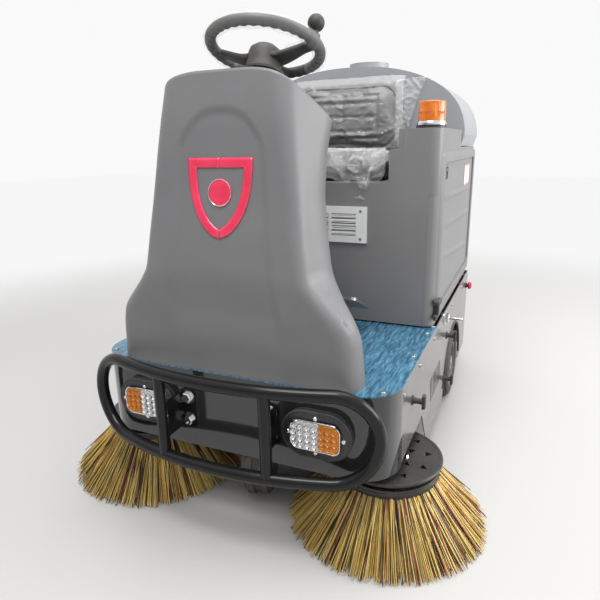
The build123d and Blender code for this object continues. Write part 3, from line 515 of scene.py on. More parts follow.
# %% Cross-sections of the cowl
# Each row: height above the deck, front X, front half width, side X, side half width, rear X, rear half
# width; the X values are measured from the front panel's face.
panel_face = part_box("front_panel")[1].x
deck_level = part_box("deck_plate")[1].z
cowl_rows = (
    (0.000, -0.002, 0.302, -0.051, 0.327, -0.181, 0.270),
    (0.100, 0.000, 0.296, -0.049, 0.318, -0.183, 0.262),
    (0.130, 0.003, 0.288, -0.048, 0.311, -0.185, 0.240),
    (0.150, 0.005, 0.280, -0.047, 0.303, -0.187, 0.218),
    (0.185, 0.008, 0.250, -0.064, 0.276, -0.194, 0.190),
    (0.240, 0.013, 0.205, -0.091, 0.235, -0.206, 0.180),
    (0.320, 0.005, 0.193, -0.103, 0.220, -0.221, 0.166),
    (0.410, -0.010, 0.182, -0.111, 0.208, -0.239, 0.160),
    (0.500, -0.020, 0.168, -0.131, 0.208, -0.261, 0.152),
    (0.570, -0.029, 0.157, -0.156, 0.213, -0.276, 0.150),
    (0.690, -0.051, 0.140, -0.171, 0.205, -0.291, 0.145),
)
cowl_heights = np.array([row[0] for row in cowl_rows])
cowl_values = np.array([row[1:] for row in cowl_rows])
nose_x, nose_height = -0.051, 0.672
dash_x, dash_height = -0.311, 0.550


def cowl_section(height):
    """Widths and places of the cowl at a height, eased between the rows."""
    eased = []
    for offset, weight in ((-0.016, 0.25), (0, 0.5), (0.016, 0.25)):
        level = min(max(height + offset, 0.0), cowl_heights[-1])
        eased.append(weight * np.array([np.interp(level, cowl_heights, column)
                                        for column in cowl_values.T]))
    return sum(eased)


def cowl_lid(x, y):
    """Height of the cowl's sloping top, which arches down towards its sides."""
    share = (x - nose_x) / (dash_x - nose_x)
    arch = max(0.0, abs(y) - 0.055) / 0.15
    return nose_height + (dash_height - nose_height) * share - 0.050 * arch ** 2


def cowl_outline(height):
    """The closed outline at a height: five flats a side joined by round corners, front middle first."""
    front_x, front_y, side_x, side_y, rear_x, rear_y = cowl_section(height)
    half = [Vector((front_x, 0)), Vector((front_x, front_y)), Vector((side_x, side_y)),
            Vector((rear_x, rear_y)), Vector((rear_x, 0))]
    reach = [(half[i + 1] - half[i]).length for i in range(4)]
    radii = [min(r, 0.48 * reach[i], 0.48 * reach[i + 1]) for i, r in enumerate((0.030, 0.036, 0.034))]
    line = [half[0] + (half[1] - half[0]) * (k / 22) * (1 - radii[0] / front_y) for k in range(23)]
    for index, radius in enumerate(radii, start=1):
        corner = half[index]
        back = (half[index - 1] - corner).normalized() * radius
        on = (half[index + 1] - corner).normalized() * radius
        start, end = corner + back, corner + on
        if index > 1:
            last = line[-1]
            line += [last.lerp(start, k / 6) for k in range(1, 6)]
            line.append(start)
        line += [(start * (1 - t) ** 2 + corner * 2 * t * (1 - t) + end * t ** 2)
                 for t in (k / 7 for k in range(1, 8))]
    line += [line[-1].lerp(half[4], k / 8) for k in range(1, 9)]
    mirrored = [Vector((p.x, -p.y)) for p in line[-2:0:-1]]
    return line + mirrored


def recess_depth(y, height):
    """Depth of the arched recess in the cowl's face."""
    rise = (height - 0.085) / (0.600 - 0.085)
    if not 0 <= rise <= 1:
        return 0.0
    half = 0.150 - 0.048 * rise
    top = 0.600 - 0.085 * (abs(y) / max(half, 1e-6)) ** 3
    side = min(1.0, max(0.0, (half - abs(y)) / 0.014))
    lid = min(1.0, max(0.0, (top - height) / 0.016))
    foot = min(1.0, max(0.0, rise / 0.16))
    shares = [s * s * (3 - 2 * s) for s in (side, lid, foot)]
    return 0.0065 * shares[0] * shares[1] * shares[2]


# %% Loft the cowl
def make_cowl():
    rows, columns = 110, len(cowl_outline(0.0))
    tops = []
    for k in range(columns):
        level = 0.6
        for _ in range(25):
            spot = cowl_outline(level)[k]
            level = 0.5 * level + 0.5 * cowl_lid(spot.x, spot.y)
        tops.append(level)
    shape = Shape()
    corners, faces = [], []
    fractions = [i / rows for i in range(rows + 1)]
    outlines = {}
    for fraction in fractions:
        for k in range(columns):
            level = tops[k] * fraction
            key = round(level / 0.0015)
            if key not in outlines:
                outlines[key] = cowl_outline(key * 0.0015)
            spot = outlines[key][k]
            x = spot.x - (recess_depth(spot.y, level) if spot.x > -0.075 else 0)
            corners.append((panel_face + x, spot.y, deck_level + level))
    for i in range(rows):
        for k in range(columns):
            m = (k + 1) % columns
            faces.append((i * columns + k, i * columns + m, (i + 1) * columns + m, (i + 1) * columns + k))
    # the lid closes over a rolled edge in shrinking rings
    middle = Vector(((nose_x + dash_x) / 2, 0))
    rim_start = rows * columns
    previous = [rim_start + k for k in range(columns)]
    for inset, lift in ((0.012, 0.007), (0.03, 0.012), (0.3, 0.014), (0.6, 0.014), (0.85, 0.014)):
        ring = []
        for k in range(columns):
            edge = Vector(corners[rim_start + k][:2]) - Vector((panel_face, 0))
            toward = middle - edge
            if inset < 0.1:
                spot = edge + toward.normalized() * inset
            else:
                spot = edge + toward * inset
            ring.append(len(corners))
            level = deck_level + cowl_lid(spot.x, spot.y) + lift - 0.006
            corners.append((panel_face + spot.x, spot.y, level))
        for k in range(columns):
            m = (k + 1) % columns
            faces.append((previous[k], previous[m], ring[m], ring[k]))
        previous = ring
    faces.append(tuple(previous))
    shape.add((corners, faces))
    made = shape.piece("front_cowl_moulding", "chassis", "cowl_grey", cowl_plastic, crease=0)
    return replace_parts(made, "front_cowl")


cowl = make_cowl()
cowl_built = bmesh.new()
cowl_built.from_mesh(cowl.data)
cowl_tree = BVHTree.FromBMesh(cowl_built)
cowl_built.free()
print("cowl faces", len(cowl.data.polygons))

# %% [markdown]
# The cowl wears a plain enamel shield outline round a small oval badge, both blank. Each is a thin
# plate that follows the curved face, so its outline is laid on the cowl by rays and thickened a little.


# %% Crest and badge on the cowl
def laid_plate(name, outline, thickness, finishes, slot, rings=5):
    """A thin plate that follows the cowl's face; outline is (y, z) round the plate's edge."""
    count = len(outline)
    middle = Vector((sum(p[0] for p in outline) / count, sum(p[1] for p in outline) / count))
    corners, faces = [], []
    for ring in range(rings + 1):
        for p in outline:
            spot = middle.lerp(Vector(p), 1 - ring / rings) if ring < rings else middle.lerp(Vector(p), 0.02)
            hit, _ = surface_landing(cowl_tree, (1.2, spot.x, spot.y), (-1, 0, 0))
            proud = thickness if ring else thickness * 0.45
            corners.append((hit.x + proud, spot.x, spot.y))
    for ring in range(rings):
        for i in range(count):
            j = (i + 1) % count
            faces.append((ring * count + i, ring * count + j, (ring + 1) * count + j, (ring + 1) * count + i))
    faces.append(tuple(rings * count + i for i in range(count)))
    base = len(corners)
    for i in range(count):
        corners.append((corners[i][0] - thickness, corners[i][1], corners[i][2]))
    for i in range(count):
        j = (i + 1) % count
        faces.append((base + i, base + j, j, i))
    return Shape().add((corners, faces)).piece(name, "chassis", slot, finishes)


def crest_band(side):
    """One half of the crest: a band of even width that outlines a plain shield."""
    outer, inner, width = [], [], 0.021
    for k in range(41):
        t = k / 40
        if t < 0.3:
            spot, along = Vector((0.080 * t / 0.3, 0.895)), Vector((1, 0))
        else:
            fall = (t - 0.3) / 0.7
            spot = Vector((0.080 * (1 - fall ** 2.6) ** 0.62, 0.895 - 0.172 * fall))
            further = min(1.0, fall + 0.01)
            ahead_spot = Vector((0.080 * (1 - further ** 2.6) ** 0.62, 0.895 - 0.172 * further))
            along = (ahead_spot - spot).normalized() if further > fall else Vector((-1, -0.4)).normalized()
        inward = Vector((along.y, -along.x))
        outer.append((side * spot.x, spot.y))
        inner_spot = spot + inward * width
        level = min(inner_spot.y, 0.895 - width) if t > 0.2 else 0.895 - width
        inner.append((side * max(0.0, inner_spot.x), level))
    return outer + inner[::-1]


def strip_plate(name, outline, thickness, finishes, slot):
    """A laid plate made from matching points down its two sides."""
    half = len(outline) // 2
    left, right = outline[:half], outline[:half - 1:-1]
    corners, faces, across = [], [], 5
    for a, b in zip(left, right):
        for k in range(across + 1):
            y, z = Vector(a).lerp(Vector(b), k / across)
            hit, _ = surface_landing(cowl_tree, (1.2, y, z), (-1, 0, 0))
            corners.append((hit.x + thickness * (0.5 if k in (0, across) else 1), y, z))
    for i in range(half - 1):
        for k in range(across):
            a = i * (across + 1) + k
            faces.append((a, a + 1, a + across + 2, a + across + 1))
    made = Shape().add((corners, faces)).piece(name, "chassis", slot, finishes, crease=50)
    thick = made.modifiers.new("thickness", "SOLIDIFY")
    thick.thickness, thick.offset = 0.0015, 0
    return made


for crest_side, crest_name in ((1, "left"), (-1, "right")):
    strip_plate(f"crest_{crest_name}", crest_band(crest_side), 0.0022, emblem_enamel, "lens_red")
badge_outline = [(0.030 * math.cos(2 * math.pi * k / 40), 0.822 + 0.030 * math.sin(2 * math.pi * k / 40))
                 for k in range(40)]
laid_plate("crest_badge", badge_outline, 0.0026, emblem_enamel, "lens_red")
badge_rim_line = []
for k in range(48):
    rim_turn = 2 * math.pi * k / 48
    rim_y, rim_z = 0.0285 * math.cos(rim_turn), 0.822 + 0.0282 * math.sin(rim_turn)
    rim_hit, _ = surface_landing(cowl_tree, (1.2, rim_y, rim_z), (-1, 0, 0))
    badge_rim_line.append((rim_hit.x + 0.0026, rim_y, rim_z))
badge_rim = Shape().add(swept(badge_rim_line, 0.0009, 8, closed=True))
badge_rim.piece("crest_badge_rim", "chassis", "chrome", chrome)
print("crest laid on the cowl")

# %% [markdown]
# ## The steering wheel
# A deep-dished wheel: a thick rim with finger grips moulded into its underside, broad spokes that sink
# towards the middle, and a bell-shaped shroud over the column. Turned and swept bodies make it, in the
# wheel's own frame, which leans back by the column's angle.

# %% Wheel's own place
lean = math.radians(18)
wheel_axis = Vector((-math.sin(lean), 0, math.cos(lean)))
wheel_ahead = Vector((math.cos(lean), 0, math.sin(lean)))
wheel_hub = Vector((panel_face - 0.262, 0, deck_level + 0.741))
wheel_place = Matrix.Translation(wheel_hub) @ Matrix(
    (wheel_ahead, Vector((0, 1, 0)), wheel_axis)).transposed().to_4x4()
rim_radius, grip_radius = 0.132, 0.013


def grip_rim(steps=216, sides=20):
    """The rim, whose underside swells and dips for the fingers."""
    corners, faces = [], []
    for i in range(steps):
        around = 2 * math.pi * i / steps
        ripple = 0.5 + 0.5 * math.cos(36 * around)
        for k in range(sides):
            turn = 2 * math.pi * k / sides
            under = max(0.0, -math.sin(turn) * 0.8 + 0.25 * -math.cos(turn))
            radius = grip_radius * (1.0 + 0.03 - 0.17 * ripple * min(1.0, under * 1.4))
            out = rim_radius + radius * math.cos(turn)
            corners.append((out * math.cos(around), out * math.sin(around), radius * math.sin(turn)))
    for i in range(steps):
        j = (i + 1) % steps
        for k in range(sides):
            m = (k + 1) % sides
            faces.append((i * sides + k, i * sides + m, j * sides + m, j * sides + k))
    return corners, faces


def dished_spoke(angle, width_hub=0.060, width_rim=0.034):
    """A broad spoke that sinks from the rim to the hub, with rolled edges."""
    corners, faces, steps, sides = [], [], 12, 16
    turn = math.radians(angle)
    out, across = Vector((math.cos(turn), math.sin(turn), 0)), Vector((-math.sin(turn), math.cos(turn), 0))
    for i in range(steps + 1):
        t = i / steps
        reach = 0.030 + t * (rim_radius - 0.030)
        drop = -0.026 + 0.026 * (t * t * (3 - 2 * t))
        half = 0.5 * (width_hub + (width_rim - width_hub) * min(1.0, t * 1.5))
        half = half * (1 + 0.25 * max(0, t - 0.8) * 5)
        thick = 0.0065 + 0.002 * (1 - t)
        for k in range(sides):
            a = 2 * math.pi * k / sides
            bulge = math.copysign(abs(math.cos(a)) ** 0.55, math.cos(a))
            flat = math.copysign(abs(math.sin(a)) ** 0.55, math.sin(a))
            dish = -0.006 * (1 - abs(bulge)) * math.sin(math.pi * t)
            corners.append(out * reach + across * (half * bulge) + Vector((0, 0, drop + thick * flat + dish)))
    for i in range(steps):
        for k in range(sides):
            m = (k + 1) % sides
            faces.append((i * sides + k, i * sides + m, (i + 1) * sides + m, (i + 1) * sides + k))
    return corners, faces


wheel = Shape()
wheel.add(grip_rim(), wheel_place)
for spoke_angle in (90, 180, 270):
    wheel.add(dished_spoke(spoke_angle), wheel_place)
hub_profile = [(0.044, -0.118), (0.0505, -0.117), (0.052, -0.110), (0.0515, -0.084), (0.0495, -0.078),
               (0.0455, -0.070), (0.043, -0.050), (0.041, -0.032), (0.040, -0.014), (0.037, -0.004),
               (0.031, 0.001), (0.026, 0.002), (0.025, 0.0055), (0.022, 0.0065), (0, 0.0070)]
hub_profile = [(r, z if z > -0.05 else -0.05 + (z + 0.05) * 0.205) for r, z in hub_profile]
wheel.add(turned(hub_profile, 56), wheel_place)
knob_turn = math.radians(84)
knob_foot = Vector((rim_radius * math.cos(knob_turn), rim_radius * math.sin(knob_turn), 0.008))
knob_profile = [(0.0125, 0), (0.0125, 0.006), (0.0085, 0.009), (0.0075, 0.014)]
knob_profile += [(0.0198 * math.cos(a), 0.034 + 0.0198 * math.sin(a))
                 for a in (math.radians(-66 + 156 * k / 14) for k in range(15))]
knob_profile[-1] = (0, knob_profile[-1][1])
wheel.add(turned(knob_profile, 32), wheel_place @ Matrix.Translation(knob_foot))
wheel_piece = wheel.piece("steering_wheel_moulding", "steering", "rubber_black", rubber, crease=40)
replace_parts(wheel_piece, "steering_wheel")

column = Shape()
column.add(turned([(0.034, -0.215), (0.034, -0.125), (0.0365, -0.120), (0.0365, -0.100), (0.032, -0.096),
                   (0.0315, -0.062), (0, -0.062)], 48), wheel_place)
for step in range(4):
    column.add(turned([(0.0325, 0), (0.0345, 0.002), (0.0345, 0.005), (0.0325, 0.007), (0, 0.007)], 48),
               wheel_place @ Matrix.Translation((0, 0, -0.092 + 0.0085 * step)))
column_piece = column.piece("steering_column_boot", "chassis", "rubber_black", rubber, crease=40)
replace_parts(column_piece, "steering_column")
print("steering wheel faces", len(wheel_piece.data.polygons))

# %% [markdown]
# ## Brushes
# Each side brush is a disc that carries a few thousand polypropylene bristles, mixed in colour, fanning out
# to the floor. Hair particles would be the usual tool, but they don't export as a mesh, so every bristle is
# built as a thin three-sided rod: rooted in a tuft, almost straight, a little bent at its tip.


# %% Bristle rods
def bristle_rods(roots, tips, bends, thickness, finish_of_rod):
    """Thin three-sided rods from roots to tips, as corners, faces and a finish for each face."""
    count, stations, sides = len(roots), 4, 3
    along = tips - roots
    length = np.linalg.norm(along, axis=1, keepdims=True)
    unit = along / length
    helper = np.tile([0.0, 0.0, 1.0], (count, 1))
    first = np.cross(unit, helper)
    first /= np.linalg.norm(first, axis=1, keepdims=True)
    second = np.cross(unit, first)
    corners = np.empty((count, stations, sides, 3))
    for s in range(stations):
        t = s / (stations - 1)
        middle = roots + along * t + bends * (t * t)
        radius = thickness * (1 - 0.35 * t)
        for k in range(sides):
            turn = 2 * math.pi * k / sides
            corners[:, s, k] = middle + (first * math.cos(turn) + second * math.sin(turn)) * radius[:, None]
    base = np.arange(count)[:, None] * stations * sides
    faces = []
    for s in range(stations - 1):
        for k in range(sides):
            m = (k + 1) % sides
            quad = np.array([s * sides + k, s * sides + m, (s + 1) * sides + m, (s + 1) * sides + k])
            faces.append(base + quad)
    faces = np.stack(faces, 1).reshape(-1, 4)
    finishes = np.repeat(finish_of_rod, (stations - 1) * sides)
    return corners.reshape(-1, 3), faces, finishes


def rod_piece(name, body, corners, faces, finishes, materials):
    """Makes a piece from arrays of corners and four-sided faces."""
    mesh = bpy.data.meshes.new(name)
    mesh.vertices.add(len(corners))
    mesh.vertices.foreach_set("co", corners.astype(np.float32).ravel())
    mesh.loops.add(faces.size)
    mesh.loops.foreach_set("vertex_index", faces.astype(np.int32).ravel())
    mesh.polygons.add(len(faces))
    mesh.polygons.foreach_set("loop_start", np.arange(len(faces), dtype=np.int32) * 4)
    for material in materials:
        mesh.materials.append(material)
    mesh.polygons.foreach_set("material_index", finishes.astype(np.int32))
    mesh.update(calc_edges=True)
    mesh.validate()
    made = bpy.data.objects.new(name, mesh)
    scene.collection.objects.link(made)
    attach(made, body)
    return made


# %% Bristles of the side brushes
def side_brush(side_name, seed):
    low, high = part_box(f"brush_disc_{side_name}")
    middle, socket_level = (low + high) / 2, low.z
    draw = np.random.default_rng(seed)
    count = 5200
    tufts = draw.integers(0, 54, count)
    layer = draw.random(count) ** 0.8
    angle = 2 * np.pi * (tufts + 0.5) / 54 + draw.normal(0, 0.060, count)
    root_radius = 0.092 + 0.033 * layer + draw.normal(0, 0.0015, count)
    root_radius = np.clip(root_radius, 0.088, 0.1268)
    reach = 0.150 + 0.098 * layer ** 0.9 + draw.normal(0, 0.004, count)
    reach = np.clip(reach, 0.13, 0.2515)
    tip_angle = angle + draw.normal(0, 0.034, count)
    tip_height = np.abs(draw.normal(0.0025, 0.0035, count)) + 0.0015 + 0.010 * (draw.random(count) > 0.93)
    roots = np.stack([root_radius * np.cos(angle), root_radius * np.sin(angle),
                      np.full(count, socket_level + 0.006)], 1)
    tips = np.stack([reach * np.cos(tip_angle), reach * np.sin(tip_angle), tip_height], 1)
    outward = np.stack([np.cos(tip_angle), np.sin(tip_angle), np.zeros(count)], 1)
    bends = outward * draw.normal(0.003, 0.004, count)[:, None]
    bends[:, 2] = draw.random(count) * 0.002
    tips -= bends
    centre = np.array([middle.x, middle.y, 0])
    kinds = draw.choice(6, count, p=(0.44, 0.17, 0.09, 0.12, 0.04, 0.14))
    corners, faces, finishes = bristle_rods(roots + centre, tips + centre, bends,
                                            draw.uniform(0.0013, 0.0019, count), kinds)
    made = rod_piece(f"side_brush_bristles_{side_name}", f"brush_{side_name}",
                     corners, faces, finishes, bristle_finishes)
    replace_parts(made, f"brush_bristles_{side_name}")
    return middle, high.z, len(faces)


brush_places = {}
for brush_name, brush_seed in (("left", 3), ("right", 8)):
    brush_middle, brush_top, brush_faces = side_brush(brush_name, brush_seed)
    brush_places[brush_name] = (brush_middle, brush_top)
    print("side brush", brush_name, "faces", brush_faces)

# %% [markdown]
# Bolts and a hub cap hold the brush disc to its motor. Under the disc a moulded ring holds the bristles,
# with a lip that shades their roots.

# %% Brush disc fittings
for brush_name, (brush_middle, brush_top) in brush_places.items():
    fittings = Shape()
    for k in range(6):
        bolt_turn = 2 * math.pi * (k + 0.5) / 6
        bolt_spot = (brush_middle.x + 0.046 * math.cos(bolt_turn), brush_middle.y + 0.046 * math.sin(bolt_turn),
                     brush_top)
        for bolt_body in hex_bolt(0.0065):
            fittings.add(bolt_body, facing(bolt_spot, (0, 0, 1), (1, 0, 0)))
    fittings.piece(f"brush_bolts_{brush_name}", f"brush_{brush_name}", "chrome", chrome)
    ring = Shape()
    ring_place = Matrix.Translation((brush_middle.x, brush_middle.y, 0))
    ring.add(turned([(0.127, 0.131), (0.1285, 0.134), (0.1285, 0.146), (0.124, 0.149), (0.112, 0.152),
                     (0.095, 0.153)], 72), ring_place)
    ring.add(turned([(0.134, brush_top - 0.0082), (0.1352, brush_top - 0.006), (0.1352, brush_top - 0.002),
                     (0.1335, brush_top + 0.0004), (0.130, brush_top + 0.0012), (0.126, brush_top + 0.0004)], 72),
             ring_place)
    ring.add(turned([(0.030, brush_top), (0.030, brush_top + 0.006), (0.026, brush_top + 0.009),
                     (0.018, brush_top + 0.0095)], 40), ring_place)
    ring.piece(f"brush_ring_{brush_name}", f"brush_{brush_name}", "black_plastic", black_moulding)

# %% [markdown]
# The roller under the machine carries its bristles in rows that wind round its core, which is how it sweeps
# dirt steadily back into the hopper. The same rods are used, rooted along helical lines.

# %% Bristles of the main roller
roller_low, roller_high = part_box("roller_bristles")
roller_middle = (roller_low + roller_high) / 2
roller_reach = (roller_high.x - roller_low.x) / 2
roller_draw = np.random.default_rng(21)
roller_count = 7000
roller_row = roller_draw.integers(0, 14, roller_count)
roller_along = roller_draw.uniform(roller_low.y + 0.004, roller_high.y - 0.004, roller_count)
roller_angle = (2 * np.pi * roller_row / 14 + (roller_along - roller_low.y) * 3.4
                + roller_draw.normal(0, 0.040, roller_count))
roller_out = np.stack([np.cos(roller_angle), np.zeros(roller_count), np.sin(roller_angle)], 1)
roller_centre = np.array([roller_middle.x, 0, roller_middle.z])
roller_roots = roller_centre + roller_out * 0.059
roller_roots[:, 1] = roller_along
roller_lengths = roller_reach - np.abs(roller_draw.normal(0, 0.0025, roller_count))
roller_tips = roller_centre + roller_out * roller_lengths[:, None]
roller_tips[:, 1] = roller_along + roller_draw.normal(0, 0.003, roller_count)
roller_tips[:, 1] = np.clip(roller_tips[:, 1], roller_low.y, roller_high.y)
roller_corners, roller_faces, roller_kinds = bristle_rods(
    roller_roots, roller_tips, np.zeros((roller_count, 3)), roller_draw.uniform(0.0009, 0.0013, roller_count),
    roller_draw.choice(6, roller_count, p=(0.1, 0.05, 0.05, 0.1, 0.05, 0.65)))
roller_piece = rod_piece("roller_bristle_rows", "roller", roller_corners, roller_faces,
                         roller_kinds, bristle_finishes)
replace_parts(roller_piece, "roller_bristles")
print("roller faces", len(roller_faces))

# %% [markdown]
# ## Wheels
# The solid tyres are turned on the lathe with rounded shoulders and a groove in each wall. The steered
# wheel's two rows of tread blocks are separate tapered blocks round it, grey with dust.


# %% Tyres
def tyre_body(radius, width, bead, tread_depth):
    """The turned carcass of a solid tyre, lying on its side about Z."""
    half, body = width / 2, radius - tread_depth
    wall = [(bead, -half + 0.004), (bead + 0.006, -half + 0.001), (bead + 0.018, -half), (bead + 0.020, -half + 0.0015),
            (bead + 0.0215, -half + 0.0015), (bead + 0.023, -half), (body - 0.012, -half + 0.001),
            (body - 0.005, -half + 0.004), (body - 0.001, -half + 0.010), (body, -half + 0.016)]
    return turned(wall + [(r, -z) for r, z in wall[::-1]] + [wall[0]], 96)


def tread_block(radius, width, depth, length):
    """One tapered tread block whose middle lies at the tyre's surface."""
    low = [(-length / 2, -width / 2), (length / 2, -width / 2), (length / 2, width / 2), (-length / 2, width / 2)]
    corners = [(x, y, -depth - 0.003) for x, y in low] + [(x, y, -0.002) for x, y in low]
    corners += [(x * 0.84, y * 0.88, 0.0) for x, y in low]
    faces = [(0, 1, 5, 4), (1, 2, 6, 5), (2, 3, 7, 6), (3, 0, 4, 7), (4, 5, 9, 8), (5, 6, 10, 9), (6, 7, 11, 10),
             (7, 4, 8, 11), (8, 9, 10, 11), (3, 2, 1, 0)]
    return corners, faces


def blocked_tyre(name, node, body, slot, material, blocks, depth):
    """A tyre with two rows of blocks, in the place of a packed tyre."""
    low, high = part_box(node)
    middle, radius = (low + high) / 2, (high.z - low.z) / 2
    turn = math.radians(20) if body == "front_wheel" else 0.0
    axis = Vector((-math.sin(turn), math.cos(turn), 0))
    width = 0.078 if body == "front_wheel" else 0.066
    place = facing(middle, axis)
    tyre = Shape().add(tyre_body(radius, width, 0.080, depth), place)
    for row in (-1, 1):
        for k in range(blocks):
            around = 2 * math.pi * (k + (0.5 if row > 0 else 0)) / blocks
            out = Vector((math.cos(around), math.sin(around), 0))
            spot = place @ (out * radius + Vector((0, 0, row * width * 0.225)))
            direction = place.to_3x3() @ out
            block_place = facing(spot, direction, axis)
            tyre.add(tread_block(radius, 2 * math.pi * radius / blocks * 0.70, depth, width * 0.37),
                     block_place @ Matrix.Rotation(math.radians(90), 4, "Z")
                     @ Matrix.Rotation(math.radians(90), 4, "Z"))
    made = tyre.piece(name, body, slot, material, crease=30)
    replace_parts(made, node)
    return made


blocked_tyre("front_tyre_tread", "front_tyre", "front_wheel", "tyre_black", tyre_rubber, 30, 0.006)
for wheel_side in ("left", "right"):
    blocked_tyre(f"rear_tyre_tread_{wheel_side}", f"rear_tyre_{wheel_side}", f"rear_wheel_{wheel_side}",
                 "tyre_black", rear_tyre_rubber, 40, 0.004)
print("tyres made")

# %% [markdown]
# ## The seat
# The seat is black vinyl over foam, and a foam pad has no flat faces: it crowns in the middle and pulls in
# along its seams. The pad starts as a block whose sides are eased, is remeshed evenly, and is then blown
# up a little as cloth under pressure, which is how real upholstery gets its shape. The movement is capped
# so that the pad stays in its place, and the sewn channels are pressed in afterwards.

# %% Pads blown up as cloth
def eased_block(name, low, high, power=5.0, cuts=22):
    """A block with softly rounded edges, as a first shape for a pad."""
    low, high = Vector(low), Vector(high)
    built = bmesh.new()
    bmesh.ops.create_cube(built, size=2.0)
    bmesh.ops.subdivide_edges(built, edges=built.edges[:], cuts=cuts, use_grid_fill=True)
    for v in built.verts:
        length = (abs(v.co.x) ** power + abs(v.co.y) ** power + abs(v.co.z) ** power) ** (1 / power)
        v.co = v.co / length
        v.co = Vector((low[i] + high[i]) / 2 + v.co[i] * (high[i] - low[i]) / 2 for i in range(3))
    mesh = bpy.data.meshes.new(name)
    built.to_mesh(mesh)
    built.free()
    made = bpy.data.objects.new(name, mesh)
    scene.collection.objects.link(made)
    return made


def settle(piece):
    """Replaces a piece's mesh by what its modifiers make of it."""
    bpy.context.view_layer.update()
    final = bpy.data.meshes.new_from_object(piece.evaluated_get(bpy.context.evaluated_depsgraph_get()))
    piece.modifiers.clear()
    piece.data = final


def blown_pad(name, low, high, cap, voxel=0.006):
    """A pad that starts small in its box and swells under pressure by up to cap metres."""
    pad = eased_block(name, low, high)
    remesh = pad.modifiers.new("even mesh", "REMESH")
    remesh.mode, remesh.voxel_size = "VOXEL", voxel
    settle(pad)
    before = np.array([v.co for v in pad.data.vertices])
    cloth = pad.modifiers.new("pressure", "CLOTH")
    cloth.settings.use_pressure = True
    cloth.settings.uniform_pressure_force = 4
    cloth.settings.quality = 4
    cloth.settings.tension_stiffness = 18
    cloth.settings.bending_stiffness = 0.6
    cloth.settings.effector_weights.gravity = 0
    cloth.collision_settings.use_collision = False
    cloth.point_cache.frame_start, cloth.point_cache.frame_end = 1, 20
    for step in range(1, 21):
        scene.frame_set(step)
    settle(pad)
    after = np.array([v.co for v in pad.data.vertices])
    moved = after - before
    length = np.linalg.norm(moved, axis=1, keepdims=True)
    capped = before + moved * np.minimum(1.0, cap / np.maximum(length, 1e-9))
    pad.data.vertices.foreach_set("co", capped.astype(np.float32).ravel())
    print(name, "moved up to", round(float(length.max()) * 1000, 1), "mm, capped at", cap * 1000)
    scene.frame_set(1)
    smooth = pad.modifiers.new("finer", "SUBSURF")
    smooth.levels = smooth.render_levels = 1
    settle(pad)
    pad.data.polygons.foreach_set("use_smooth", [True] * len(pad.data.polygons))
    return pad


def press_channels(pad, depth_at):
    """Presses sewn channels into a pad; depth_at gives a displacement for each point."""
    points = np.array([v.co for v in pad.data.vertices])
    pad.data.vertices.foreach_set("co", (points + depth_at(points)).astype(np.float32).ravel())
    pad.data.update()


def groove(distance, width):
    """The profile of a sewn channel: 1 on its line, 0 a width away."""
    return np.exp(-(distance / width) ** 2)


# %% The cushion and the backrest
cushion_low, cushion_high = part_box("seat_cushion")
cushion = blown_pad("seat_cushion_pad", cushion_low + Vector((0.012, 0.010, 0.002)),
                    cushion_high + Vector((-0.006, -0.010, -0.012)), 0.022)
back_low, back_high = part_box("seat_backrest")
back_low.z = cushion_high.z + 0.004
backrest = blown_pad("seat_backrest_pad", back_low + Vector((0.002, 0.006, 0.004)),
                     back_high + Vector((-0.012, -0.006, -0.004)), 0.022)


def cushion_channels(points):
    push = np.zeros_like(points)
    top = np.clip((points[:, 2] - (cushion_high.z - 0.035)) / 0.02, 0, 1)
    for y in (-0.150, 0.150):
        push[:, 2] -= 0.007 * top * groove(points[:, 1] - y, 0.006)
    front = cushion_high.x - 0.075
    push[:, 2] -= 0.006 * top * groove(points[:, 0] - front, 0.006)
    for x in (-0.16, -0.10, -0.04):
        inner = np.clip((0.150 - np.abs(points[:, 1])) / 0.01, 0, 1)
        push[:, 2] -= 0.004 * top * inner * groove(points[:, 0] - x, 0.007)
    return push


def back_channels(points):
    push = np.zeros_like(points)
    face = np.clip((points[:, 0] - (back_low.x + 0.025)) / 0.01, 0, 1)
    y, z = np.abs(points[:, 1]), points[:, 2]
    middle, half = (back_low.z + back_high.z) / 2, (back_high.z - back_low.z) / 2
    frame_line = np.maximum(y - 0.118, np.abs(z - middle) - (half - 0.045))
    push[:, 0] -= 0.008 * face * groove(frame_line, 0.006)
    inside = np.clip(-frame_line / 0.01, 0, 1)
    for level in (-0.045, 0.0, 0.045):
        push[:, 0] -= 0.006 * face * inside * groove(z - middle - level, 0.007)
    push[:, 0] -= 0.005 * face * inside * groove(y, 0.006)
    return push


press_channels(cushion, cushion_channels)
press_channels(backrest, back_channels)
for pad_piece, pad_node in ((cushion, "seat_cushion"), (backrest, "seat_backrest")):
    pad_piece.data.materials.clear()
    pad_piece.data.materials.append(seat_vinyl)
    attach(pad_piece, "hood")
    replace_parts(pad_piece, pad_node)
    print(pad_piece.name, "points", len(pad_piece.data.vertices))

# %% [markdown]
# Welt cords are sewn round the pads where top and side meet. The outline is found by sampling the pad
# itself, so the cord touches it wherever the pressure left it.


# %% Welt round the pads
def tree_of(piece):
    built = bmesh.new()
    built.from_mesh(piece.data)
    tree = BVHTree.FromBMesh(built)
    built.free()
    return tree


def welt(name, tree, centre, outline, plane_axes, body):
    """A cord of the pad's own vinyl, laid where rays from outside meet the pad."""
    line = []
    for a, b in outline:
        target = Vector(centre)
        out = Vector((0, 0, 0))
        out[plane_axes[0]], out[plane_axes[1]] = a, b
        start = target + out * 3
        hit, _ = surface_landing(tree, start, -out.normalized())
        if hit is not None:
            line.append(hit)
    return Shape().add(swept(line, 0.0028, 8, closed=True)).piece(name, body, "seat_black", seat_vinyl)


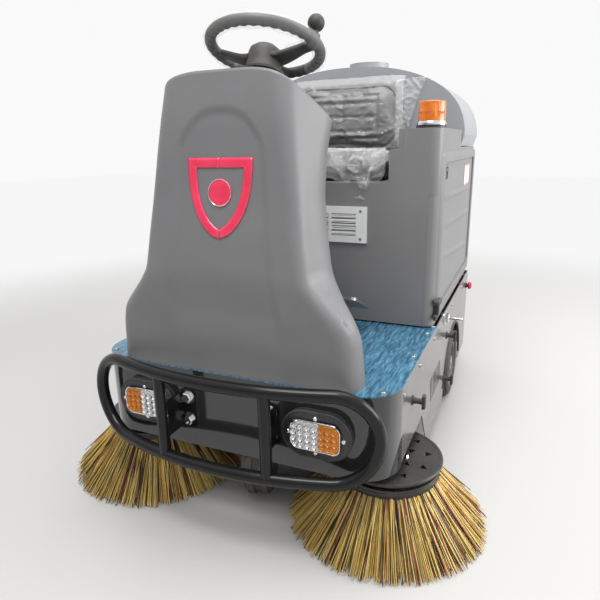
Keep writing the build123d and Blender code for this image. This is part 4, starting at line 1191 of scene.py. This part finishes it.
cushion_tree, back_tree = tree_of(cushion), tree_of(backrest)
cushion_middle = (cushion_low + cushion_high) / 2
cushion_ring = [(a / 2, b / 2) for a, b in rounded(0.34, 0.50, 0.05, 10)]
welt("cushion_welt", cushion_tree, (cushion_middle.x, cushion_middle.y, cushion_high.z - 0.030), cushion_ring,
     (0, 1), "hood")
back_middle = (back_low + back_high) / 2
back_ring = [(a / 2, b / 2) for a, b in rounded(0.40, 0.24, 0.04, 10)]
welt("backrest_welt", back_tree, (back_high.x - 0.030, 0, back_middle.z), back_ring, (1, 2), "hood")

# %% [markdown]
# The seat is still in its clear transport wrap. Wrap isn't draped neatly: it bridges hollows, bunches at
# the front edge and stands off in sharp facets. A cloth simulation makes soft folds, which is wrong for
# stiff film, so the sheet is laid over the pad as a grid and creased with ridged noise, where thin sharp
# ridges divide flatter facets.


# %% Crinkled sheets
def crinkle(point, scale, seed):
    """A height between 0 and 1 with sharp ridges, as in creased film."""
    place = Vector(point) * scale + Vector((seed, seed * 1.7, -seed))
    first = 1 - abs(noise.noise(place)) * 2
    second = 1 - abs(noise.noise(place * 2.3 + Vector((5, 3, 1)))) * 2
    return max(0.0, 0.7 * first ** 3 + 0.3 * second ** 3)


def film_sheet(name, surface, columns, rows, body, material, depth, scale, seed):
    """A sheet of film; surface(u, v) gives a point and the direction to stand off in."""
    corners, faces = [], []
    for i in range(rows + 1):
        for k in range(columns + 1):
            point, out, loose = surface(k / columns, i / rows)
            corners.append(point + out * (0.0015 + depth * loose * crinkle(point, scale, seed)))
    for i in range(rows):
        for k in range(columns):
            a = i * (columns + 1) + k
            faces.append((a, a + 1, a + columns + 2, a + columns + 1))
    made = Shape().add((corners, faces)).piece(name, body, "lens_clear", material, crease=0)
    return made


def cushion_wrap_at(u, v):
    """Across the seat with u, and from its back over the front edge with v."""
    y = -0.150 + 0.388 * u
    lobe = math.sqrt(max(0.0, 1 - ((y - 0.172) / 0.068) ** 2))
    travel = v * (0.30 + 0.058 * lobe + 0.006 * noise.noise(Vector((u * 9, 0.3, 1.2))))
    start_x, bend_x = cushion_high.x - 0.27, cushion_high.x - 0.012
    top = cushion_high.z + 0.004
    hit, _ = surface_landing(cushion_tree, (min(start_x + travel, bend_x - 0.02), y, top + 0.1), (0, 0, -1))
    level = (hit.z if hit is not None else top) + 0.002
    if start_x + travel < bend_x - 0.02:
        return Vector((start_x + travel, y, level)), Vector((0, 0, 1)), 0.55
    round_it = travel - (bend_x - 0.02 - start_x)
    turn = min(math.pi * 0.5, round_it / 0.028)
    rest = max(0.0, round_it - math.pi * 0.5 * 0.028)
    bulge = 0.010 * lobe * math.sin(min(1, rest / 0.04) * math.pi)
    x = bend_x - 0.02 + (0.028 + 0.012 * lobe) * math.sin(turn) + bulge
    z = level - 0.028 * (1 - math.cos(turn)) - rest
    return (Vector((x + 0.003, y + (0.172 - y) * 0.35 * rest / 0.07 * lobe, z)),
            Vector((math.sin(turn), 0, math.cos(turn))), 0.5 + 1.1 * lobe)


def back_wrap_at(u, v):
    """Across the backrest with u, and from its foot over its top with v."""
    y = -0.198 + 0.396 * u
    z = back_low.z + 0.010 + (back_high.z - back_low.z + 0.002) * v
    ahead_of_back = (back_high.x + 0.2, min(0.18, max(-0.18, y)), min(z, back_high.z - 0.012))
    hit, _ = surface_landing(back_tree, ahead_of_back, (-1, 0, 0))
    x = (hit.x if hit is not None else back_high.x - 0.02) + 0.003
    side = max(0.0, abs(y) - 0.172) / 0.026
    x -= 0.022 * side ** 2
    over = max(0.0, (v - 0.93) / 0.07)
    loose = 0.8 + 0.6 * u * (1 - v)
    return Vector((x - 0.030 * over, y, z + 0.006 * over)), Vector((1, 0, 0.35 * over)), loose


def flare_at(u, v):
    """The wrap's loose corner, pulled from the backrest's left edge out to the tank."""
    inner = Vector((back_high.x - 0.016, 0.176, back_low.z + 0.02 + (back_high.z - back_low.z - 0.02) * v))
    outer = Vector((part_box("rear_tank")[1].x + 0.004, 0.205 + 0.062 * v ** 1.5, inner.z + 0.012 * v))
    point = inner.lerp(outer, u)
    return point, Vector((1, 0.2, 0)), 1.4


film_sheet("cushion_wrap", cushion_wrap_at, 90, 110, "hood", seat_wrap_film,
           0.016, 26, 2.0)
film_sheet("backrest_wrap", back_wrap_at, 90, 70, "hood", seat_wrap_film, 0.010,
           22, 5.0)
film_sheet("backrest_wrap_corner", flare_at, 30, 60, "hood", seat_wrap_film, 0.012,
           34, 9.0)
print("seat wrapped")


# %% Wrap on the steering wheel
def wheel_wrap_at(u, v):
    """Round the tube with u, and along the rim with v, loose as a sleeve."""
    around = math.radians(-168 + 316 * v)
    turn = 2 * math.pi * u
    sleeve = 0.0152 + 0.0035 * noise.noise(Vector((around * 3, math.cos(turn), math.sin(turn))))
    out = Vector((math.cos(around) * math.cos(turn), math.sin(around) * math.cos(turn), math.sin(turn)))
    place = Vector((rim_radius * math.cos(around), rim_radius * math.sin(around), 0)) + out * sleeve
    return wheel_place @ place, wheel_place.to_3x3() @ out, 0.35


def spoke_wrap_at(u, v):
    """A twisted tail of wrap that hangs over the left spoke towards the hub."""
    reach = 0.128 - 0.080 * v
    width = 0.052 - 0.018 * v
    angle = math.radians(90)
    side = (u - 0.5) * width
    lift = 0.012 - 0.020 * v - 0.9 * side ** 2 / 0.05
    place = Vector((side, reach, lift))
    return wheel_place @ place, wheel_place.to_3x3() @ Vector((0, 0, 1)), 0.9


film_sheet("wheel_wrap", wheel_wrap_at, 20, 220, "steering", wheel_wrap_film,
           0.006, 60, 3.0)
film_sheet("wheel_wrap_tail", spoke_wrap_at, 26, 40, "steering", wheel_wrap_film,
           0.012, 60, 7.0)
print("steering wheel wrapped")

# %% [markdown]
# ## Lamps
# Each headlamp is an oval black base with a clear and an amber window. Behind the windows sit rows of small
# LED cups, which are what reads as detail from a distance, so each cup is a turned bright cone with a tiny
# lens in it.


# %% Headlamps
def window_outline(y0, y1, height, outer):
    """A window whose outer end is rounded: outer is 1 where the left end is round, -1 the right, in Y."""
    radius, half, line = 0.018, height / 2, []
    for index, (sx, sy) in enumerate(((1, 1), (-1, 1), (-1, -1), (1, -1))):
        r = radius if sx == outer else 0.003
        cx, cy = (y1 - r if sx > 0 else y0 + r), sy * (half - r)
        for k in range(7):
            turn = math.pi / 2 * (index + k / 6)
            line.append((cx + r * math.cos(turn), cy + r * math.sin(turn)))
    return line


lamp_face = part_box("headlamp_bases")[1].x
lamp_level = (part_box("headlamp_bases")[0].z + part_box("headlamp_bases")[1].z) / 2
lamp_half = (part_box("lamp_lenses_clear")[1].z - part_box("lamp_lenses_clear")[0].z) / 2
clear_inner, clear_outer = 0.175, 0.241
amber_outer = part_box("lamp_lenses_amber")[1].y
cup_profile = [(0.0076, 0), (0.0076, 0.0030), (0.0070, 0.0034), (0.0052, 0.0012), (0.0030, 0.0007),
               (0.0027, 0.0022), (0.0016, 0.0034), (0, 0.0038)]
for lamp_side, lamp_name in ((1, "left"), (-1, "right")):
    lamp_place = end_place(1, lamp_face, 0, lamp_level)
    for window, inner, outer, columns, glass, slot_name, node, end in (
            ("clear", clear_inner, clear_outer, 4, clear_glass, "lens_clear", "lamp_lenses_clear",
             -lamp_side),
            ("amber", clear_outer, amber_outer, 3, amber_glass, "lens_amber", "lamp_lenses_amber",
             lamp_side)):
        y0, y1 = sorted((lamp_side * inner, lamp_side * outer))
        outline = window_outline(y0, y1, 2 * lamp_half, end)
        tray = Shape()
        tray.add(stamped(outline, 0.007, 0.001), lamp_place)
        for column_index in range(columns):
            for row_index in range(4):
                cup_y = y0 + (column_index + 0.5) * (y1 - y0) / columns
                cup_z = (row_index - 1.5) * 2 * (lamp_half - 0.004) / 4
                if abs(cup_z) > lamp_half - 0.012 and column_index == (0 if end < 0 else columns - 1):
                    cup_y += -end * 0.003
                cup_place = lamp_place @ Matrix.Translation((cup_y, cup_z, 0.0071))
                tray.add(turned(cup_profile, 14), cup_place, 1)
        cup_finish = chrome if window == "clear" else glass
        tray_piece = tray.piece(f"lamp_{window}_{lamp_name}", "chassis", slot_name,
                                [vent_plastic if window == "clear" else glass, cup_finish], crease=35)
        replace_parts(tray_piece, node)
    # bezel round both windows and the four screws
    whole = rounded(amber_outer - clear_inner + 0.004, 2 * lamp_half + 0.004, 0.019, 8)
    whole_middle = lamp_side * (clear_inner + amber_outer) / 2
    bezel_line = [lamp_place @ Vector((whole_middle + a, b, 0.005)) for a, b in whole]
    bezel = Shape().add(swept(bezel_line, 0.0022, 8, closed=True))
    bezel.piece(f"lamp_bezel_{lamp_name}", "chassis", "chrome", chrome)
    screws = add_screws(Shape(), pan_screw, 0.0052,
                        [lamp_place @ Matrix.Translation((whole_middle + a, b, 0))
                         for a, b in ((0.066, 0), (-0.066, 0), (0, 0.0425), (0, -0.0425))])
    screws.piece(f"lamp_screws_{lamp_name}", "chassis", "chrome", chrome)
    seal = Shape()
    seal_line = []
    for k in range(64):
        turn = 2 * math.pi * k / 64
        straight = (0.166 - 0.112) / 2
        seal_y = lamp_side * 0.231 + straight * (1 if math.cos(turn) > 0 else -1) + 0.0545 * math.cos(turn)
        seal_line.append((lamp_face - 0.003, seal_y, lamp_level + 0.0545 * math.sin(turn)))
    seal.add(swept(seal_line, 0.0035, 8, closed=True))
    seal.piece(f"lamp_seal_{lamp_name}", "chassis", "rubber_black", rubber)
print("headlamps made")

# %% [markdown]
# The beacon's dome is moulded with upright ribs inside a smooth band, over a turned chrome collar and a
# black foot.

# %% Beacon
beacon_low, beacon_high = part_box("beacon_lens")
beacon_foot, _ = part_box("beacon_base")
beacon_middle = (beacon_low + beacon_high) / 2
beacon_radius, beacon_height = (beacon_high.x - beacon_low.x) / 2, beacon_high.z - beacon_low.z


def ribbed_dome(steps=144):
    profile = [(1.0, 0.0), (1.0, 0.06), (0.985, 0.09), (0.985, 0.40), (1.0, 0.43), (1.0, 0.49), (0.98, 0.52),
               (0.965, 0.86), (0.95, 0.93), (0.90, 0.975), (0.78, 0.992), (0.4, 1.0)]
    corners, faces = [], []
    for share, height in profile:
        ribbed = 0.09 < height < 0.4 or 0.52 < height < 0.9
        for i in range(steps):
            turn = 2 * math.pi * i / steps
            ripple = 0.010 * math.cos(36 * turn) if ribbed else 0
            radius = beacon_radius * (share + ripple)
            corners.append((radius * math.cos(turn), radius * math.sin(turn), beacon_height * height))
    for level in range(len(profile) - 1):
        for i in range(steps):
            j = (i + 1) % steps
            below, above = level * steps, (level + 1) * steps
            faces.append((below + i, below + j, above + j, above + i))
    faces.append(tuple((len(profile) - 1) * steps + i for i in range(steps)))
    return corners, faces


beacon_place = Matrix.Translation((beacon_middle.x, beacon_middle.y, beacon_low.z))
beacon = Shape().add(ribbed_dome(), beacon_place)
beacon_piece = beacon.piece("beacon_dome", "hood", "lens_orange", beacon_glass, crease=25)
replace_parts(beacon_piece, "beacon_lens")
mirror = Shape().add(turned([(0.026, 0.002), (0.026, 0.010), (0.012, 0.012), (0.009, 0.045), (0, 0.047)], 32),
                     beacon_place)
mirror.piece("beacon_lamp", "hood", "chrome", chrome)
collar = Shape().add(turned([(0.0415, 0.004), (0.0420, 0.006), (0.0420, 0.017), (0.0405, 0.0195),
                             (0.0395, 0.0225),
                             (0.034, 0.0228)], 64),
                     Matrix.Translation((beacon_middle.x, beacon_middle.y, beacon_foot.z)))
collar_piece = collar.piece("beacon_collar", "hood", "chrome", chrome)
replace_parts(collar_piece, "beacon_base")
foot = Shape().add(turned([(0.0445, 0.0), (0.0445, 0.003), (0.0428, 0.0045), (0.0428, 0.0115),
                           (0.041, 0.0125)], 64),
                   Matrix.Translation((beacon_middle.x, beacon_middle.y, beacon_foot.z)))
foot.piece("beacon_foot", "hood", "black_plastic", black_moulding)
print("beacon made")

# %% [markdown]
# ## Hood sides
# Each hood side is moulded with a proud border round a shallow field, and the field is stiffened by ribs
# that fall towards the back. The border is a plate with a window in it, whose edges are chamfered, because
# a blow-moulded hood has no sharp steps. A hand hole, a blank label and a rubber pull latch sit on it.

# %% Hood side mouldings
def window_plate(outer, inner, thickness, lip, slope):
    """A plate with one window; both outlines have as many points, and the outer edge slopes in."""
    count, corners, faces = len(outer), [], []
    outer_middle = (sum(p[0] for p in outer) / count, sum(p[1] for p in outer) / count)
    inner_middle = (sum(p[0] for p in inner) / count, sum(p[1] for p in inner) / count)
    rings = ((outer, outer_middle, 0, 0), (outer, outer_middle, -0.6 * slope, thickness - lip),
             (outer, outer_middle, -slope, thickness), (inner, inner_middle, 2 * lip, thickness),
             (inner, inner_middle, 0, thickness - 1.6 * lip), (inner, inner_middle, 0, 0))
    for line, middle, shift, height in rings:
        for a, b in line:
            out = Vector((a - middle[0], b - middle[1])).normalized()
            corners.append((a + out.x * shift, b + out.y * shift, height))
    for ring in range(5):
        for i in range(count):
            j = (i + 1) % count
            faces.append((ring * count + i, ring * count + j, (ring + 1) * count + j, (ring + 1) * count + i))
    return corners, faces


def round_quad(points, radius, steps=6):
    """A quadrilateral with rounded corners, each corner drawn with the same number of points."""
    line = []
    for i in range(4):
        before, here, after = Vector(points[i - 1]), Vector(points[i]), Vector(points[(i + 1) % 4])
        start = here + (before - here).normalized() * radius
        end = here + (after - here).normalized() * radius
        for k in range(steps + 1):
            t = k / steps
            spot = start * (1 - t) ** 2 + here * 2 * t * (1 - t) + end * t ** 2
            line.append((spot.x, spot.y))
    return line


def rib(start, end, width, height):
    """A low ridge from start to end, faded into the plate at both of its ends."""
    corners, faces, steps = [], [], 24
    start, end = Vector(start), Vector(end)
    side = Vector((-(end - start).y, (end - start).x)).normalized() * width / 2
    for i in range(steps + 1):
        t = i / steps
        rise = height * min(1.0, 6 * t, 6 * (1 - t))
        spot = start.lerp(end, t)
        for across, up in ((-1, 0), (-0.35, 0.92), (0, 1), (0.35, 0.92), (1, 0)):
            point = spot + side * across
            corners.append((point.x, point.y, rise * up + 0.0003 * (1 if up else 0)))
    for i in range(steps):
        for k in range(4):
            a = i * 5 + k
            faces.append((a, a + 1, a + 6, a + 5))
    return corners, faces


hood_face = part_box("hood_shell")[1].y
for hood_side, hood_name in ((1, "left"), (-1, "right")):
    hood_place = side_place(hood_side, hood_face)
    border_outer = round_quad([(0.092, 0.420), (0.092, 0.893), (-0.672, 0.893), (-0.672, 0.420)], 0.014)
    border_inner = round_quad([(0.036, 0.452), (0.070, 0.862), (-0.640, 0.862), (-0.640, 0.452)], 0.022)
    border = Shape().add(window_plate(border_outer, border_inner, 0.0065, 0.0018, 0.012), hood_place)
    for first, last in (((0.020, 0.765), (-0.610, 0.752)), ((0.018, 0.683), (-0.615, 0.660)),
                        ((0.014, 0.590), (-0.620, 0.530))):
        border.add(rib(first, last, 0.024, 0.0045), hood_place)
    border.piece(f"hood_side_moulding_{hood_name}", "hood", "hood_grey", hood_plastic, crease=40)
    hand_hole = Shape()
    hole_outer = round_quad(box_outline(-0.004, 0.052, 0.812, 0.856), 0.005)
    hole_inner = round_quad(box_outline(0.001, 0.047, 0.817, 0.851), 0.004)
    hand_hole.add(window_plate(hole_outer, hole_inner, 0.0035, 0.0008, 0.001), hood_place, 0)
    hand_hole.add(stamped(hole_inner, 0.0008, 0.0002), hood_place, 1)
    hand_hole.add(stamped(round_quad([(0.040, 0.838), (0.040, 0.848), (0.008, 0.848), (0.008, 0.838)], 0.002),
                          0.0030, 0.0008), hood_place, 1)
    hand_hole.piece(f"hood_hand_hole_{hood_name}", "hood", "black_plastic", [hood_plastic, black_moulding])
    label = Shape()
    label.add(stamped(round_quad([(-0.40, 0.768), (-0.40, 0.840), (-0.545, 0.840), (-0.545, 0.768)], 0.006),
                      0.0012, 0.0003), hood_place, 1)
    label.add(stamped(round_quad([(-0.406, 0.774), (-0.406, 0.834), (-0.539, 0.834), (-0.539, 0.774)], 0.004),
                      0.0016, 0.0003), hood_place, 0)
    label.piece(f"hood_label_{hood_name}", "hood", "lens_clear", [label_paper, emblem_enamel])
    latch = Shape()
    for low_x, high_x, low_z, high_z, corner, thickness, edge in (
            (0.070, 0.116, 0.424, 0.440, 0.003, 0.009, 0.0015),
            (0.083, 0.103, 0.436, 0.472, 0.003, 0.013, 0.002),
            (0.070, 0.116, 0.466, 0.484, 0.006, 0.016, 0.003)):
        latch.add(stamped(round_quad(box_outline(low_x, high_x, low_z, high_z), corner), thickness, edge),
                  hood_place)
    latch.piece(f"hood_pull_latch_{hood_name}", "hood", "rubber_black", rubber)
print("hood sides made")

# %% [markdown]
# ## Fittings on the frame and panels
# The panels are held by black rubber wing knobs, chrome pegs and cross-head screws, and the wheel arches
# are trimmed with a rubber bead that follows the cut edge.

# %% Side panel fittings
panel_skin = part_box("side_panel_left")[1].y
arch_x, arch_z, arch_reach = -0.315, 0.090, 0.190
for panel_side, panel_name in ((1, "left"), (-1, "right")):
    panel_place = side_place(panel_side, panel_skin)
    knobs = Shape()
    for x, z in ((0.412, 0.314), (-0.138, 0.295), (-0.123, 0.144)):
        knob_place = panel_place @ Matrix.Translation((x, z, 0))
        knobs.add(turned([(0.0125, 0), (0.0125, 0.002), (0.0085, 0.004), (0.0070, 0.012), (0.0075, 0.025)], 24),
                  knob_place)
        wing = round_quad(box_outline(-0.008, 0.008, -0.019, 0.019), 0.006)
        knobs.add(stamped(wing, 0.008, 0.002), knob_place @ Matrix.Translation((0, 0, 0.024)))
    knob_piece = knobs.piece(f"panel_wing_knobs_{panel_name}", "chassis", "rubber_black", rubber)
    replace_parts(knob_piece, "panel_knobs")
    bolts = add_screws(Shape(), hex_bolt, 0.016, [panel_place @ Matrix.Translation((-0.070, 0.378, 0.0))])
    bolts.piece(f"peg_nut_{panel_name}", "chassis", "chrome", chrome)
    screws = add_screws(Shape(), pan_screw, 0.0055, [panel_place @ Matrix.Translation((x, 0.372, 0))
                                                     for x in (0.330, 0.120, -0.240, -0.500, 0.510)])
    screws.piece(f"panel_screws_{panel_name}", "chassis", "steel", steel)
    bead = []
    for k in range(61):
        turn = math.radians(4 + 172 * k / 60)
        bead.append((arch_x + (arch_reach - 0.001) * math.cos(turn), panel_side * (panel_skin + 0.0005),
                     arch_z + (arch_reach - 0.001) * math.sin(turn)))
    trim = Shape().add(swept(bead, 0.0042, 10))
    trim.piece(f"arch_trim_{panel_name}", "chassis", "rubber_black", rubber)
    deck_screws = add_screws(Shape(), pan_screw, 0.0062,
                             [Matrix.Translation((x, panel_side * y, deck_level))
                              for x, y in ((0.572, 0.365), (0.345, 0.383), (0.160, 0.383))])
    deck_screws.piece(f"deck_screws_{panel_name}", "chassis", "steel", steel)
print("panel fittings made")

# %% Bumper bolts and knobs at the back
for bolt_side, bolt_name in ((1, "left"), (-1, "right")):
    bracket = add_screws(Shape(), hex_bolt, 0.013,
                         [end_place(1, 0.617, bolt_side * 0.112, z) for z in (0.266, 0.327)])
    bracket.piece(f"bumper_bolts_{bolt_name}", "chassis", "chrome", chrome)
    rear_knob = Shape()
    red_low, red_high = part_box("red_knobs")
    red_level, red_x = (red_low.z + red_high.z) / 2, (red_low.x + red_high.x) / 2
    red_reach = red_high.y - panel_skin
    red_place = side_place(bolt_side, panel_skin, red_x, red_level)
    rear_knob.add(turned([(0.011, 0), (0.011, 0.003), (0.0075, 0.005), (0.0075, 0.008)], 28), red_place, 1)
    rear_knob.add(turned([(0.0075, 0.0075), (0.0135, 0.0095), (0.0165, 0.015), (0.0165, red_reach - 0.010),
                          (0.0125, red_reach - 0.003), (0.007, red_reach - 0.0005), (0, red_reach)], 28), red_place)
    rear_knob_piece = rear_knob.piece(f"rear_red_knob_{bolt_name}", "chassis", "lens_red",
                                      [red_plastic, rubber])
    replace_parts(rear_knob_piece, "red_knobs")
    rear_low, rear_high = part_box("rear_lamps")
    tail_place = end_place(-1, rear_low.x, bolt_side * 0.355, (rear_low.z + rear_high.z) / 2)
    tail = Shape()
    tail_radius = (rear_high.z - rear_low.z) / 2
    tail.add(turned([(tail_radius + 0.002, -0.004), (tail_radius + 0.002, 0.001), (tail_radius - 0.002, 0.002),
                     (tail_radius - 0.004, 0.0005)], 48), tail_place, 1)
    for share in (0.8, 0.6, 0.4, 0.2):
        tail.add(turned([(tail_radius * share, 0.0), (tail_radius * (share - 0.05), 0.0022),
                         (tail_radius * (share - 0.1), 0.0)], 48), tail_place)
    tail.piece(f"rear_lamp_rings_{bolt_name}", "chassis", "lens_red", [red_plastic, chrome])
print("bolts and rear lamps made")

# %% [markdown]
# The vent grille is a pale moulded frame. Slanted blades stand in its opening, with one upright divider,
# over a black sheet of painted shade that stands for the dark inside of the hood, and four small screws hold it to the
# hood.

# %% Vent blades
grille_low, grille_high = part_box("vent_grille")
grille_y, grille_z = (grille_low.y + grille_high.y) / 2, (grille_low.z + grille_high.z) / 2
blades = Shape()
for i in range(9):
    level = grille_z - 0.0285 + i * 0.00712
    corners = [(grille_high.x - back, y, level + lift) for y in (grille_y - 0.080, grille_y + 0.080)
               for back, lift in ((0.0065, 0.0030), (0.0005, -0.0004), (0.0005, -0.0014), (0.0065, 0.0018))]
    blades.add((corners, [(0, 1, 5, 4), (1, 2, 6, 5), (2, 3, 7, 6), (3, 0, 4, 7)]))
blades.add(swept([(grille_high.x - 0.001, grille_y + 0.004, grille_z - 0.032),
                  (grille_high.x - 0.001, grille_y + 0.004, grille_z + 0.032)], 0.0018, 8))
blades.piece("vent_blades", "hood", "grille_grey", vent_plastic)
# painted shade: a black sheet just behind the blades, where the inside of the hood lies in shade
shadow_corners = [(grille_low.x + 0.0006, grille_y + y, grille_z + z)
                  for y, z in ((-0.082, -0.034), (0.082, -0.034), (0.082, 0.034), (-0.082, 0.034))]
shadow = Shape().add((shadow_corners, [(0, 1, 2, 3)]))
shadow.piece("vent_painted_shade", "hood", "black_plastic", black_moulding)
vent_screws = add_screws(Shape(), pan_screw, 0.0042,
                         [end_place(1, grille_high.x, grille_y + y, grille_z + z)
                          for y in (-0.095, 0.095) for z in (-0.040, 0.040)])
vent_screws.piece("vent_screws", "hood", "steel", steel)
print("vent made")

# %% Cap strap
cap_low, cap_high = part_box("filler_cap")
cap_middle = (cap_low + cap_high) / 2
strap_line = []
for k in range(25):
    y = -0.062 + 0.094 * k / 24
    rise = cap_high.z + 0.001 - 0.10 * max(0, abs(y) - 0.035) ** 1.3 * 3
    strap_line.append((cap_middle.x + 0.012, y, rise))
strap = Shape().add(swept(strap_line, 0.0042, 10), None, 0)
ring = ring_line((cap_middle.x + 0.012, 0.034, cap_high.z + 0.001), 0.009, 28)
strap.add(swept(ring, 0.0022, 8, closed=True), None, 1)
cap_edge = ring_line((cap_middle.x, cap_middle.y, cap_low.z + 0.004), 0.0725, 64)
strap.add(swept(cap_edge, 0.0028, 8, closed=True), None, 0)
strap.piece("cap_strap", "cap", "rubber_black", [rubber, chrome])

# %% Pedal
pedal_low, pedal_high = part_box("foot_pedal")
pedal_middle = (pedal_low + pedal_high) / 2
pedal = Shape()
for i in range(7):
    x = pedal_middle.x + (i - 3) * 0.018
    spots = []
    for k in range(9):
        y = pedal_middle.y - 0.034 + 0.068 * k / 8
        hit, _ = landing("foot_pedal", (x, y, pedal_high.z + 0.2), (0, 0, -1))
        if hit is not None:
            spots.append((hit.x, hit.y, hit.z + 0.001))
    if len(spots) > 2:
        pedal.add(swept(spots, 0.0026, 8))
pedal.piece("pedal_ribs", "chassis", "rubber_black", rubber)
linkage = Shape()
linkage.add(swept([(pedal_middle.x + 0.03, 0.168, pedal_middle.z - 0.016), (pedal_middle.x + 0.05, 0.168, 0.45),
                   (pedal_middle.x + 0.055, 0.168, deck_level + 0.001)], 0.006, 12), None, 0)
coil = []
for k in range(181):
    turn = k * math.pi / 15
    coil.append((pedal_middle.x + 0.030 + 0.009 * math.cos(turn), 0.192 + 0.009 * math.sin(turn),
                 deck_level + 0.002 + 0.060 * k / 180))
linkage.add(swept(coil, 0.0016, 6), None, 1)
linkage.add(turned([(0.012, 0), (0.012, 0.004), (0.006, 0.007), (0.006, 0.016), (0, 0.017)], 24),
            Matrix.Translation((pedal_middle.x + 0.055, 0.168, deck_level)), 0)
linkage.piece("pedal_linkage", "chassis", "black_plastic", [black_moulding, steel])
switch_outline = round_quad([(-0.014, -0.009), (-0.014, 0.009), (0.014, 0.009), (0.014, -0.009)], 0.003)
yellow = Shape().add(stamped(switch_outline, 0.010, 0.002),
                     Matrix.Translation((0.243, 0.132, 0.508)) @ Matrix.Rotation(0.35, 4, "Y"))
yellow.add(swept([(0.243, 0.132, 0.509), (0.252, 0.140, 0.45), (0.256, 0.150, deck_level + 0.001)], 0.003, 8))
yellow.piece("pedal_switch", "chassis", "bristle_yellow", yellow_plastic)
print("cap and pedal made")

# %% [markdown]
# ## Floor, light and camera
# The machine stands on a plain pale floor that fades into a white room, under wide soft lamps. The room is
# brighter on the machine's left and behind it, so its faces differ and its metal has something to mirror.

# %% Pale floor
floor_material = bpy.data.materials.new("pale floor")
floor_material.use_nodes = True
floor_nodes, floor_links = floor_material.node_tree.nodes, floor_material.node_tree.links
floor_shader = floor_nodes["Principled BSDF"]
floor_shader.inputs["Base Color"].default_value = (0.50, 0.494, 0.488, 1)
floor_shader.inputs["Roughness"].default_value = 0.35
floor_shader.inputs["Specular IOR Level"].default_value = 0.4
floor_where = floor_nodes.new("ShaderNodeTexCoord")
floor_reach = floor_nodes.new("ShaderNodeVectorMath")
floor_reach.operation = "LENGTH"
floor_links.new(floor_where.outputs["Object"], floor_reach.inputs[0])
floor_fade = floor_nodes.new("ShaderNodeMapRange")
floor_fade.interpolation_type = "SMOOTHSTEP"
floor_fade.inputs["From Min"].default_value, floor_fade.inputs["From Max"].default_value = 1.7, 3.6
floor_links.new(floor_reach.outputs["Value"], floor_fade.inputs["Value"])
floor_glow = floor_nodes.new("ShaderNodeEmission")
floor_glow.inputs["Color"].default_value = (0.93, 0.93, 0.93, 1)
floor_mix = floor_nodes.new("ShaderNodeMixShader")
floor_links.new(floor_fade.outputs["Result"], floor_mix.inputs["Fac"])
floor_links.new(floor_shader.outputs["BSDF"], floor_mix.inputs[1])
floor_links.new(floor_glow.outputs["Emission"], floor_mix.inputs[2])
floor_links.new(floor_mix.outputs["Shader"], floor_nodes["Material Output"].inputs["Surface"])
floor_mesh = bpy.data.meshes.new("floor")
floor_mesh.from_pydata([(-14, -14, 0), (14, -14, 0), (14, 14, 0), (-14, 14, 0)], [], [(0, 1, 2, 3)])
floor_mesh.materials.append(floor_material)
floor = bpy.data.objects.new("floor", floor_mesh)
scene.collection.objects.link(floor)

# %% Soft room light
room = bpy.data.worlds.new("white room")
scene.world = room
room.use_nodes = True
room_nodes, room_links = room.node_tree.nodes, room.node_tree.links
room_where = room_nodes.new("ShaderNodeTexCoord")
room_side = room_nodes.new("ShaderNodeVectorMath")
room_side.operation = "DOT_PRODUCT"
room_side.inputs[1].default_value = (-0.70, 0.30, 0.60)
room_links.new(room_where.outputs["Generated"], room_side.inputs[0])
room_level = room_nodes.new("ShaderNodeMapRange")
room_level.interpolation_type = "SMOOTHSTEP"
room_level.inputs["From Min"].default_value, room_level.inputs["From Max"].default_value = -0.85, 0.12
room_level.inputs["To Min"].default_value, room_level.inputs["To Max"].default_value = 0.26, 0.95
room_links.new(room_side.outputs["Value"], room_level.inputs["Value"])
room_nodes["Background"].inputs["Color"].default_value = (1, 1, 1, 1)
room_links.new(room_level.outputs["Result"], room_nodes["Background"].inputs["Strength"])


def soft_lamp(name, place, aim, width, height, power):
    """A wide area lamp at a place, turned to face its aim."""
    lamp = bpy.data.lights.new(name, "AREA")
    lamp.shape, lamp.size, lamp.size_y, lamp.energy = "RECTANGLE", width, height, power
    made = bpy.data.objects.new(name, lamp)
    scene.collection.objects.link(made)
    made.location = place
    made.rotation_mode = "QUATERNION"
    made.rotation_quaternion = (Vector(aim) - Vector(place)).to_track_quat("-Z", "Y")
    return made


soft_lamp("ceiling lamp", (0.2, 0.5, 3.4), (0, 0, 0.4), 3.2, 2.4, 60)
soft_lamp("front ceiling lamp", (1.5, 0.2, 3.1), (0.4, 0, 0.9), 1.6, 1.2, 42)
soft_lamp("window lamp", (-0.9, 3.3, 1.7), (0, 0, 0.6), 2.6, 2.0, 90)

# %% Camera at the machine's front left
heading, dip, roll = math.radians(23.58), math.radians(16.2), math.radians(-1.11)
ahead = Vector((-math.cos(heading) * math.cos(dip), -math.sin(heading) * math.cos(dip), -math.sin(dip)))
right = ahead.cross(Vector((0, 0, 1))).normalized()
above = right.cross(ahead)
camera_right = right * math.cos(roll) + above * math.sin(roll)
camera_up = above * math.cos(roll) - right * math.sin(roll)
camera_data = bpy.data.cameras.new("camera")
camera_data.sensor_width, camera_data.lens = 36.0, 31.97
camera = bpy.data.objects.new("camera", camera_data)
scene.collection.objects.link(camera)
camera.matrix_world = (Matrix.Translation((1.6031, 0.6250, 0.9176))
                       @ Matrix((camera_right, camera_up, -ahead)).transposed().to_4x4())
scene.camera = camera
scene.view_settings.view_transform = "Standard"
